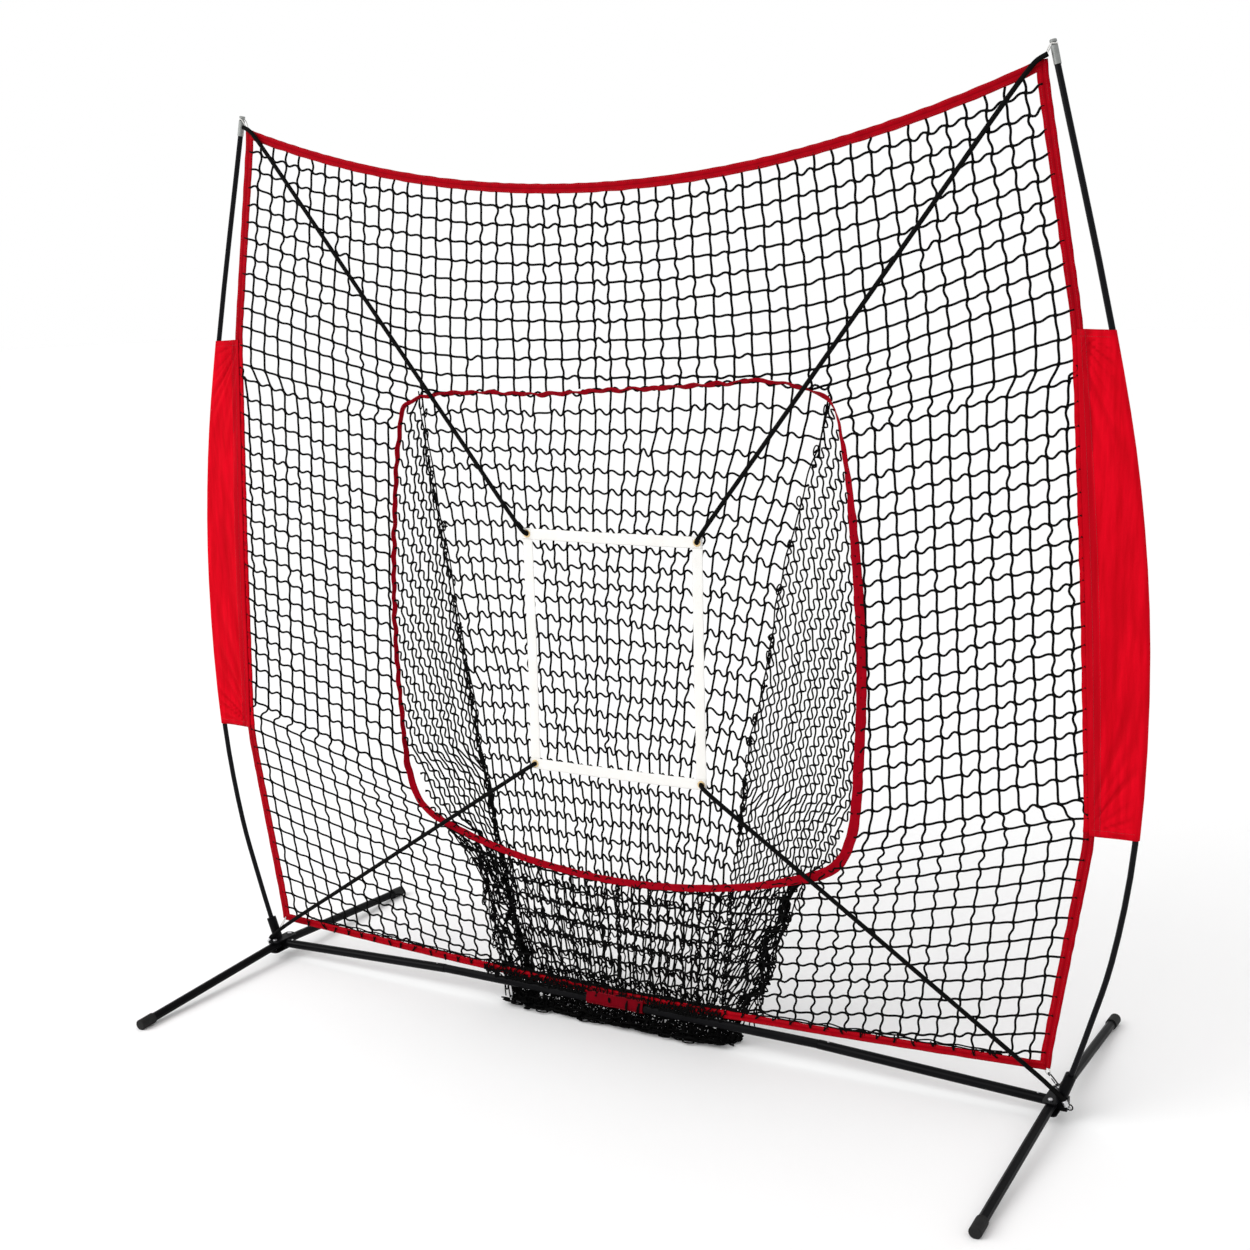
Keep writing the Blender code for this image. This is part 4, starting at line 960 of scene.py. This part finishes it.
def clear_of_wrap(strands):
    """Keeps twine outside the cloth that wraps the middle of the crossbar."""
    clear_r = WRAP_R + WRAP_CLEAR
    for points, _ in strands:
        d = points[:, 1:] - (0.0, BAR_Z)
        r = np.linalg.norm(d, axis=1)
        close = (np.abs(points[:, 0] - WRAP_MIDDLE) < 0.082) & (r < clear_r)
        push = np.where(close, clear_r / np.maximum(r, 1e-4), 1.0)
        points[:, 1:] = (0.0, BAR_Z) + d * push[:, None]
    return strands


def fine(points):
    return points, np.full(len(points), FINE_TWINE_R)


def heap_edge():
    """Loose loops that lie round the front edge of the gathered netting."""
    strands = []
    x = -0.332
    while x < 0.276:
        size = RNG.uniform(0.007, 0.017)
        z = RNG.uniform(0.003, 0.014)
        y = RNG.uniform(-0.0190, -0.004)
        tilt = RNG.uniform(0.1, 1.0)
        strands.append(fine(rows_of(x + size * np.sin(LOOP), y - 0.70 * size * np.cos(LOOP),
                                    z + size * tilt * (1 + np.cos(LOOP)) * 0.5)))
        x += RNG.uniform(0.005, 0.013)
    return strands


def bunch(points, long_strands, spread, step, tufts):
    """Twine bunched along a line: long strands, a chain of small loops, and knotted tufts."""
    _, long = along_line(points, 0.0)
    at = np.arange(0.0, long, 0.006)
    line, _ = along_line(points, at)
    strands = []
    for n in range(long_strands):
        offset = spread * (2 * n + 1 - long_strands) * 0.5
        drift = ripple(at, 0.0030, 0.16, 31 + 7 * n)
        strands.append(fine(line + rows_of(offset + drift, 0.4 * drift, 0.0)))
    start = 0.03
    while start < long - 0.02:
        dense = start / long
        size = RNG.uniform(0.008, 0.015)
        spot, _ = along_line(points, start)
        lean = RNG.uniform(-0.6, 0.6)
        wide = size * RNG.uniform(0.20, 0.50)
        loop = rows_of(wide * np.sin(LOOP) + size * lean * np.cos(LOOP) * 0.4,
                       wide * 0.5 * np.sin(LOOP + 1.0), size * np.cos(LOOP))
        home = spot + np.array([RNG.normal(0, 0.55 * spread), RNG.normal(0, 0.002), 0.0])
        strands.append(fine(home + loop))
        if RNG.random() < tufts * (0.4 + 0.6 * dense):
            k = RNG.normal(0, 1, 3) * (1, 0.5, 0.9)
            tuft = home + k / np.linalg.norm(k) * 0.008 * np.linspace(-1, 1, 5)[:, None]
            strands.append((tuft, np.array([0.8, 1.7, 2.1, 1.6, 0.8]) * FINE_TWINE_R))
        start += step * RNG.uniform(0.5, 1.5) * (1.7 - 1.2 * dense)
    return settle(strands)


def fold_strands(side):
    """The fold between back and side panel, and the outer edge of the pocket's lower part."""
    outer = bunch(FRONT_EDGE[side][1:], 1, spread=0.018, step=0.018, tufts=0.30)
    if side < 0:
        low = [p for p in FOLD[side] if p[2] < 0.45]
        return (bunch(FOLD[side], 2, spread=0.010, step=0.026, tufts=0.35)
                + bunch(low, 1, spread=0.012, step=0.016, tufts=0.30) + outer)
    high = [p for p in FOLD[side] if p[2] > 0.45]
    return bunch(high, 1, spread=0.003, step=0.070, tufts=0.9) + outer


def hem_mesh():
    """The pocket's netting where it is drawn under the middle of the bottom band."""
    x = np.linspace(*HEM_X, 36)
    rows = []
    for r in range(3):
        z = bottom_z(x) + BOTTOM_HALF_WIDTH + 0.006 - HEM_ROW_STEP * r
        row = rows_of(x, -0.0052 - 0.0012 * r, z)
        rows.append(row + jitter(row.shape, 1.0) * HEM_NOISE)
    strands = []
    for strand in net_strands(np.array(rows), HEM_LINK, 0.9, 0.15, FINE_TWINE_R):
        x, z = strand[0][:, 0], strand[0][:, 2]
        strands += clipped(strand, (np.abs(x - WRAP_MIDDLE) > 0.084) | (z > bottom_z(x) - 0.002))
    return strands


def hanging_loop(x, z, width, deep, curl):
    """One loop of twine over the front of the bottom band, ends tucked up behind it."""
    front = 0.0048 if deep < 0.026 else 0.0062
    t = np.linspace(0, 1, 15)
    bell = np.sin(math.pi * t)
    across = width * (t - 0.5 + 0.30 * np.sin(math.tau * t)) + curl * bell ** 2
    return rows_of(x + across, 0.0035 - (0.0035 + front) * np.minimum(1.0, 2.2 * bell),
                   z - deep * bell ** 0.8)


def hem_loops():
    """The last row of meshes hangs in loops over the front of the bottom band."""
    strands = []
    x = -0.965
    while x < 0.96:
        widths, depths, steps = HEM_LOOPS[(x > -0.40) + (x >= 0.28)]
        width, deep, step = RNG.uniform(*widths), RNG.uniform(*depths), RNG.uniform(*steps)
        high = float(bottom_z(x)) + BOTTOM_HALF_WIDTH + 0.004
        loop = hanging_loop(x, high, width, deep, RNG.normal(0, 0.004))
        over_wrap = abs(x - WRAP_MIDDLE) < 0.088 and deep > 0.022
        if not over_wrap or RNG.random() < 0.4:
            strands.append(fine(loop))
        x += step
    xs = np.linspace(-0.95, 0.95, 260)
    for lift, seed in ((0.012, 61), (0.0165, 62)):
        z = bottom_z(xs) + lift + ripple(xs + 1.0, 0.0028, 0.06, seed)
        strands.append(fine(rows_of(xs, -0.0005, z)))
    return strands


def pocket_pieces():
    back = net_strands(back_grid(), POCKET_LINK, 0.7, 0.15, POCKET_TWINE_R, outer=1)
    strand_piece("pocket_net_back", back, node="pocket_back")
    for side, tag in SIDES:
        strand_piece("pocket_net_" + tag, side_strands(side), node="pocket_side_" + tag)
        strand_piece("pocket_fold_" + tag, fold_strands(side))
    front = net_strands(front_grid(), POCKET_LINK, 0.8, 0.3, FINE_TWINE_R)
    strand_piece("pocket_net_front", front, node="pocket_front")
    strands = heap_edge()
    for grid in heap_grids():
        strands += net_strands(grid, HEAP_LINK, 0.9, 0.6, FINE_TWINE_R)
    strand_piece("pocket_net_heap", settle(clear_of_wrap(strands)), node="pocket_bottom",
                 reference=(0.1, 0.3, 1.0))
    strand_piece("net_hem_loops", clear_of_wrap(hem_loops() + hem_mesh()))


pocket_pieces()


# ---- tapes and ribbon
def tape_piece(name, line, half_width, half_thick, look, node, seed, twist=None, closed=False,
               seam=True, step=0.006, pucker=0.0005, profile=TAPE_HEIGHT):
    """A flat woven tape along a line in the net's plane, twisted about that line if asked."""
    points, at = resampled(line, step, closed)
    count = len(points)
    if closed:
        tangent = unit(np.roll(points, -1, axis=0) - np.roll(points, 1, axis=0))
    else:
        tangent = unit(np.gradient(points, axis=0))
    flat = rows_of(-tangent[:, 2], 0.0, tangent[:, 0])
    angle = (twist(points, at) if twist else np.zeros(count))[:, None]
    width_way = np.cos(angle) * flat + np.sin(angle) * TO_FRONT
    thick_way = -np.sin(angle) * flat + np.cos(angle) * TO_FRONT
    half = half_width(points) if callable(half_width) else half_width
    long = at[-1] + step if closed else None
    edges = [1 + ripple(at, 0.05, 0.05, seed + n, long) for n in (0, 1)]
    lift = ripple(at, pucker, 0.035, seed + 2, long)
    last = len(TAPE_ACROSS) - 1
    ring = [(k, 1) for k in range(last + 1)] + [(k, -1) for k in range(last - 1, 0, -1)]
    verts = []
    for k, face in ring:
        across = TAPE_ACROSS[k]
        wide = half * across * edges[0 if across > 0 else 1]
        high = half_thick * profile[k] * face + lift * (1 - abs(across) * 0.5)
        verts.append(points + width_way * wide[:, None] + thick_way * high[:, None])
    around, total = len(ring), len(ring) * count
    faces = [[v % total for v in face]
             for face in grid_faces(count + 1 if closed else count, around, wrap=True)]
    if not closed:
        faces += [list(range(around - 1, -1, -1)), list(range(total - around, total))]
    material, slot = look
    seams = np.tile([TAPE_SEAM[k] if seam else 0.0 for k, _ in ring], count)
    piece = new_piece(name, np.stack(verts, axis=1).reshape(-1, 3), faces, material, node,
                      {"seam": seams})
    bm = bmesh.new()
    bm.from_mesh(piece.data)
    bmesh.ops.recalc_face_normals(bm, faces=bm.faces)
    bm.to_mesh(piece.data)
    bm.free()
    return points, width_way, thick_way


def seam_pair(ways, offset, height):
    """Two rows of dashes along a tape, one on either side of its middle."""
    return stitches(*ways, offset, height) + stitches(*ways, -offset, height)


def binding_pieces():
    tape = ("tape", "binding")
    xs = np.linspace(-TOP_HALF_SPAN, TOP_HALF_SPAN, 120)
    line = rows_of(xs, -0.0004, top_z(xs) - TOP_WIDTH / 2)
    ways = tape_piece("tape_top", line, TOP_WIDTH / 2, TAPE_HALF_THICK, tape, "binding_top", 3)
    thread = seam_pair(ways, TOP_DASHES, 0.0020)
    xs = np.linspace(-LOW_HALF_SPAN, LOW_HALF_SPAN, 120)
    line = rows_of(xs, -0.0004, bottom_z(xs))
    ways = tape_piece("tape_bottom", line, BOTTOM_HALF_WIDTH + 0.0010, TAPE_HALF_THICK, tape,
                      "binding_bottom", 13)
    thread += seam_pair(ways, LOW_DASHES, 0.0020)
    zs = np.linspace(0.112, 2.182, 160)
    eased = np.convolve(np.pad(edge_x(zs), 4, mode="edge"), np.ones(9) / 9, mode="valid")
    in_sleeve = (zs > SLEEVE_Z[0] + 0.004) & (zs < SLEEVE_Z[1] - 0.004)
    for side, tag in SIDES:
        line = rows_of(side * (eased - BINDING_WIDTH / 2), 0.0, zs)
        ways = tape_piece("tape_" + tag, line, SIDE_TAPE_HALF, SIDE_TAPE_HALF_THICK, tape,
                          "binding_" + tag, 23 + side)
        thread += seam_pair(ways, SIDE_DASHES, SIDE_TAPE_HALF_THICK)
        tape_piece("sleeve_facing_" + tag, line[in_sleeve], FACING_HALF, FACING_HALF_THICK,
                   ("facing", "fabric"), "sleeve_" + tag, 43 + side, seam=False)
    thread_piece("tape_stitching", thread, "red_thread")


def rim_twist(points, at):
    """The ribbon turns edge-on along the top and left of the mouth and lies flat on the right."""
    x, z = points[:, 0], points[:, 2]
    right = ramp(x, 0.40, 0.15) * ramp(z, 1.52, -0.30)
    low = ramp(z, 0.62, -0.12) * (1 - right)
    left = ramp(x, -0.50, -0.06)
    lean = 58 - 56 * right - 46 * low + 6 * left
    shaky = 1 - 0.8 * np.maximum(right, low)
    return np.radians(lean + shaky * ripple(at, 22.0, 0.085, 77, at[-1] + RIM_STEP))


def rim_half_width(points):
    """The ribbon is spread a little wider where it lies flat."""
    x, z = points[:, 0], points[:, 2]
    right = ramp(x, 0.40, 0.15) * ramp(z, 1.50, -0.5)
    left = ramp(x, -0.45, -0.06) * ramp(z, 0.60, 0.08)
    return 0.0086 + 0.0038 * right - 0.0020 * left


def rim_piece():
    line, at = resampled(rows_of(RIM[:, 0], 0.0, RIM[:, 1]), RIM_STEP, True)
    out = unit(line - (0.0, 0.0, 1.02))
    loose = 1 - 0.75 * ramp(line[:, 0], 0.40, 0.15)
    loose *= 1 - 0.75 * ramp(line[:, 2], 0.62, -0.12)
    line = line + out * (ripple(at, 0.0020, 0.055, 91, at[-1] + RIM_STEP) * loose)[:, None]
    tape_piece("pocket_ribbon", line, rim_half_width, 0.0012, ("rim", "binding"), "pocket_rim", 31,
               rim_twist, True, seam=False, pucker=0.0010, step=RIM_STEP)


binding_pieces()
rim_piece()


# ---- sleeves
def fan(share, z, corner_z, seed):
    """Creases that spread from an inner corner, where the net pulls the cloth."""
    wobble = np.random.default_rng(seed)
    out = share * 0.11 + 0.012
    reach = np.hypot(out, z - corner_z)
    bearing = np.arctan2(out, np.abs(z - corner_z) + 1e-6)
    total = np.zeros_like(out)
    for n in range(4):
        total += np.sin(bearing * wobble.uniform(18, 46) + wobble.uniform(0, 6.28)
                        + reach * wobble.uniform(-4, 4)) / (1 + n * 0.4)
    return total * np.exp(-reach / 0.42) * ramp(reach, 0.0, 0.05)


def sleeve_row(side, z, share, turn):
    """One ring of cloth, front, round the pole and back: points, hem tone and the crease values
    that paint shade into the valleys.
    """
    low, high = SLEEVE_Z
    inner, pole = float(edge_x(z)) - 0.010, float(pole_x(z))
    x = inner + (pole + SLEEVE_CHANNEL_R * math.cos(turn[0]) - inner) * share
    half = SLEEVE_EDGE_HALF + (SLEEVE_CHANNEL_R - SLEEVE_EDGE_HALF) * share ** 1.6
    relief = np.sin(math.pi * share) ** 0.7
    folds = (fan(share, z, high, 5 + side) + fan(share, z, low, 9 + side)) * relief
    crease = folds * 0.0019 + (0.0006 * np.sin(z * 21 + share * 5 + side)
                               + 0.0005 * np.sin(z * 47 - share * 9)) * relief
    band = 0.0009 * ((x - inner) < HEM_WIDTH)
    front = rows_of(x, -half - crease - band, z)
    back = rows_of(x, half - crease * 0.9 + band, z)[::-1]
    bend = rows_of(pole + SLEEVE_CHANNEL_R * np.cos(turn), SLEEVE_CHANNEL_R * np.sin(turn), z)
    row = np.concatenate([front, bend[1:-1], back])
    gap = np.zeros(len(turn) - 2)
    hem = ((x - inner) < HEM_WIDTH) * (0.75 + 0.25 * ((x - inner) > HEM_WIDTH / 2))
    near_end = min(z - low, high - z) < 0.010
    hem = np.maximum(np.concatenate([hem, gap, hem[::-1]]), 0.45 * near_end)
    slant = 0.006 * np.concatenate([share, gap + 1.0, share[::-1]])
    row[:, 2] += slant * (0.5 - (z - low) / (high - low))
    row[:, 0] *= side
    return row, hem, np.concatenate([folds, gap, folds[::-1]])


def sleeve_piece(side, tag):
    share = np.linspace(0.0, 1.0, 26)
    turn = np.radians(np.linspace(-95, 95, 15))
    rows, hems, shades = zip(*(sleeve_row(side, z, share, turn)
                               for z in np.linspace(*SLEEVE_Z, SLEEVE_ROWS)))
    grid = np.array(rows)
    faces = grid_faces(*grid.shape[:2])
    if side < 0:
        faces = [f[::-1] for f in faces]
    # the crease values paint shade into the cloth's valleys in the material
    shading = {"hem": np.concatenate(hems), "crease": np.concatenate(shades)}
    piece = new_piece("sleeve_cloth_" + tag, grid.reshape(-1, 3), faces, "sleeve",
                      "sleeve_" + tag, shading)
    thicken(piece, SLEEVE_CLOTH)
    lines = [grid[:, k] for k in (3, 6)] + [grid[r][1:26] for r in (2, -3)]
    thread = [dash for line in lines for dash in stitches(line)]
    thread_piece("sleeve_stitching_" + tag, thread, "red_thread")


for hand, word in SIDES:
    sleeve_piece(hand, word)


# ---- wrap on the crossbar
def wrap_piece():
    """A red flap sewn to the bottom band that closes round the crossbar."""
    rows = []
    turn = np.radians(np.linspace(160, 455, 30))
    t = np.linspace(0, 1, 8)[:-1, None]
    for x in np.linspace(*WRAP_SPAN, 40):
        r = WRAP_R - 0.0004 + float(ripple(np.array([x]), 0.0006, 0.04, 5)[0])
        ring = rows_of(x, r * np.cos(turn), BAR_Z + r * np.sin(turn))
        top = np.array([x, -0.0032, float(bottom_z(x)) + 0.004])
        rows.append(np.concatenate([top * (1 - t) + ring[0] * t, ring]))
    grid = np.array(rows)
    faces = grid_faces(*grid.shape[:2])
    piece = new_piece("bar_wrap", grid.reshape(-1, 3), faces, "wrap", "crossbar_wrap",
                      {"seam": np.zeros(grid.shape[0] * grid.shape[1])})
    thicken(piece, WRAP_CLOTH)
    thread = [dash for c in (2, 12)
              for dash in stitches(grid[:, c], (0.0, 0.0, 1.0), TO_FRONT, 0.0, 0.0008)]
    thread_piece("bar_wrap_stitching", thread, "red_thread")


wrap_piece()


# ---- strike-zone target
def strip_piece(tag, line, seed):
    tape_piece("strip_" + tag, line, STRIP_HALF, STRIP_THICK / 2, ("strip", "strip"),
               "target_" + tag, seed, seam=False, pucker=0.00025, profile=STRIP_PROFILE)


def target_pieces():
    thread = []
    low, high = GROMMET_Z
    for side, tag in SIDES:
        zs = np.linspace(low - STRIP_OVERHANG, high + STRIP_OVERHANG, 60)
        bow = 0.0016 * np.sin(math.pi * (zs - zs[0]) / (zs[-1] - zs[0])) * -side
        line = rows_of(TARGET_X + side * GROMMET_DX + bow, UPRIGHT_STRIP_Y, zs)
        strip_piece(tag, line, 41 + side)
    reach = GROMMET_DX + STRIP_OVERHANG
    for z, tag in ((low, "bottom"), (high, "top")):
        xs = np.linspace(TARGET_X - reach, TARGET_X + reach, 60)
        sag = -0.0012 * np.sin(math.pi * (xs - xs[0]) / (xs[-1] - xs[0]))
        strip_piece(tag, rows_of(xs, LEVEL_STRIP_Y, z + sag), 47)
        for side, _ in SIDES:
            corner = TARGET_X + side * GROMMET_DX
            half = STRIP_HALF - 0.0022
            square = np.array([(corner + half * i, LEVEL_STRIP_Y, z + half * j)
                               for i, j in ((-1, -1), (1, -1), (1, 1), (-1, 1), (-1, -1))])
            thread += stitches(square, height=STRIP_THICK / 2 + 0.0001)
    thread_piece("strip_stitching", thread, "white_thread")


target_pieces()


# ---- elastic cords and ties
def cord_route(side, end):
    """The same route as the CAD cord: out of a grommet, then straight to a pole tip or a hub."""
    x, z = TARGET_X + side * GROMMET_DX, GROMMET_Z[end]
    far = [(side * p[0], p[1], p[2]) for p in CORD_FAR[end]]
    out = Vector((far[0][0] - x, 0, far[0][2] - z)).normalized()
    near = [(x, y, z) for y in (-0.0015, -0.0080, -0.0150)]
    near += [(x + out.x * d, y, z + out.z * d) for d, y in ((0.006, -0.0205), (0.020, -0.0235))]
    middle = [tuple(Vector(near[-1]).lerp(Vector(far[0]), t)) for t in (0.25, 0.5, 0.75)]
    return smooth_line(near + middle + far)


def cord_pieces():
    for end, level in ((0, "lower"), (1, "upper")):
        for side, tag in SIDES:
            path, _ = resampled(cord_route(side, end), 0.004)
            piece = strand_piece(f"elastic_{level}_{tag}", [(path, CORD_R)], "cord",
                                 f"cord_{level}_{tag}", sides=16)


def tie_piece(name, points, node, radius=TIE_R, per_span=8):
    strand_piece(name, [(smooth_line(points, per_span), radius)], "tie", node, sides=10,
                 reference=(0.2, 1.0, 0.3))


def top_tie(side, tag):
    """A loop from the net's corner round the groove of the pole tip."""
    x, z, loop = TIP_TOP[0] + 0.0017, TIP_TOP[1] - 0.0079, 0.0071
    points = [(1.0005, -0.0026, 2.1862), (1.0090, -0.0062, 2.2030)]
    for a in np.radians((-110, -65, -20, 20, 65, 110)):
        points.append((x + loop * math.cos(a), loop * math.sin(a), z))
    points += [(1.0090, 0.0062, 2.2030), (1.0005, 0.0026, 2.1862)]
    points = [(side * px, y, pz) for px, y, pz in points]
    tie_piece("elastic_tie_top_" + tag, points, "tie_top_" + tag)


def low_ties():
    """The left tie loops through the hub's lug, the right one through the snap hook's eye."""
    x, _, z = LUG_CENTER
    down = [(1.0440, -0.0040, 0.1160), (1.0580, -0.0042, 0.0980),
            (x - 0.0035, -0.0038, z + 0.0045)]
    points = down + [(x, 0.0, z + 0.0020)] + [(px, -y, pz) for px, y, pz in down[::-1]]
    tie_piece("elastic_tie_low_left", [(-px, y, pz) for px, y, pz in points], "tie_bottom_left")
    up = Vector(LUG_UP)
    eye = Vector(LUG_CENTER) + up * 0.0305
    cross = up.cross(Vector((0.0, 1.0, 0.0)))
    points = [(1.0475, 0.0, 0.1162), eye - cross * 0.0044 + up * 0.0035, eye - up * 0.0002,
              eye + cross * 0.0044 + up * 0.0035, (1.0400, 0.0, 0.1162)]
    tie_piece("elastic_tie_low_right", points, "tie_bottom_right", HOOK_TIE_R, 10)


def cord_end_hooks():
    """A crimp and a small wire hook hold each lower cord in the hub's eye."""
    for side, tag in SIDES:
        path = cord_route(side, 0)
        end = path[-1]
        aim = unit((end - path[-6])[None, :])[0]
        t = np.linspace(0, 1, 9)
        crimp = end - aim * 0.010 + aim * (0.013 * t)[:, None]
        swell = CORD_R + 0.0007 + 0.0003 * np.sin(t * math.pi * 5)
        swell[0] = swell[-1] = CORD_R + 0.0001
        x, z = side * 1.1012, 0.0360
        wire = smooth_line([tuple(end + aim * 0.001), tuple(end + aim * 0.005),
                            (x, -0.0165, z + 0.0010), (x, -0.0110, z - 0.0040),
                            (x, -0.0075, z - 0.0046), (x, -0.0048, z - 0.0018)], 6)
        strand_piece("cord_hook_" + tag, [(crimp, swell), (wire, 0.0009)], "bolt",
                     sides=14, reference=(0.2, 0.3, 1.0))


cord_pieces()
for hand, word in SIDES:
    top_tie(hand, word)
low_ties()
cord_end_hooks()


# ---- CAD nodes that stay
for sub in frame["record"]["subparts"]:
    kind = sub["material_slot"]
    if kind in ("frame", "pole", "bolt", "tip", "cap", "grommet", "hook"):
        kept = frame["nodes"][sub["node"]].data.materials
        kept.clear()
        kept.append(MATERIALS[kind])


# ---- stage and light
def make_floor():
    mesh = bpy.data.meshes.new("floor")
    square = ((-1, -1), (1, -1), (1, 1), (-1, 1))
    corners = [(i * FLOOR_HALF, j * FLOOR_HALF, 0) for i, j in square]
    mesh.from_pydata(corners, [], [(0, 1, 2, 3)])
    mesh.materials.append(floor_paint())
    floor = bpy.data.objects.new("floor", mesh)
    bpy.context.scene.collection.objects.link(floor)


def make_world():
    """Soft white light from all round, behind a plain white backdrop."""
    world = bpy.data.worlds.new("studio")
    world.use_nodes = True
    tree = world.node_tree
    light, seen = tree.nodes["Background"], tree.nodes.new("ShaderNodeBackground")
    for shader, strength in ((light, WORLD_LIGHT), (seen, 1.0)):
        shader.inputs["Color"].default_value = (1.0, 1.0, 1.0, 1.0)
        shader.inputs["Strength"].default_value = strength
    path = tree.nodes.new("ShaderNodeLightPath")
    either = tree.nodes.new("ShaderNodeMixShader")
    tree.links.new(path.outputs["Is Camera Ray"], either.inputs[0])
    tree.links.new(light.outputs[0], either.inputs[1])
    tree.links.new(seen.outputs[0], either.inputs[2])
    tree.links.new(either.outputs[0], tree.nodes["World Output"].inputs["Surface"])
    bpy.context.scene.world = world


def make_lamps():
    sun = bpy.data.lights.new("key", "SUN")
    sun.energy = SUN_STRENGTH
    sun.angle = math.radians(SUN_ANGLE)
    soft = bpy.data.lights.new("fill", "AREA")
    soft.size = FILL_SIZE
    soft.energy = FILL_POWER
    for lamp, at in ((sun, SUN_AT), (soft, FILL_AT)):
        light = bpy.data.objects.new(lamp.name, lamp)
        light.location = at
        light.rotation_euler = (Vector(LIGHT_AIM) - Vector(at)).to_track_quat("-Z", "Y").to_euler()
        bpy.context.scene.collection.objects.link(light)


make_floor()
make_world()
make_lamps()
bpy.context.scene.view_settings.view_transform = "Standard"
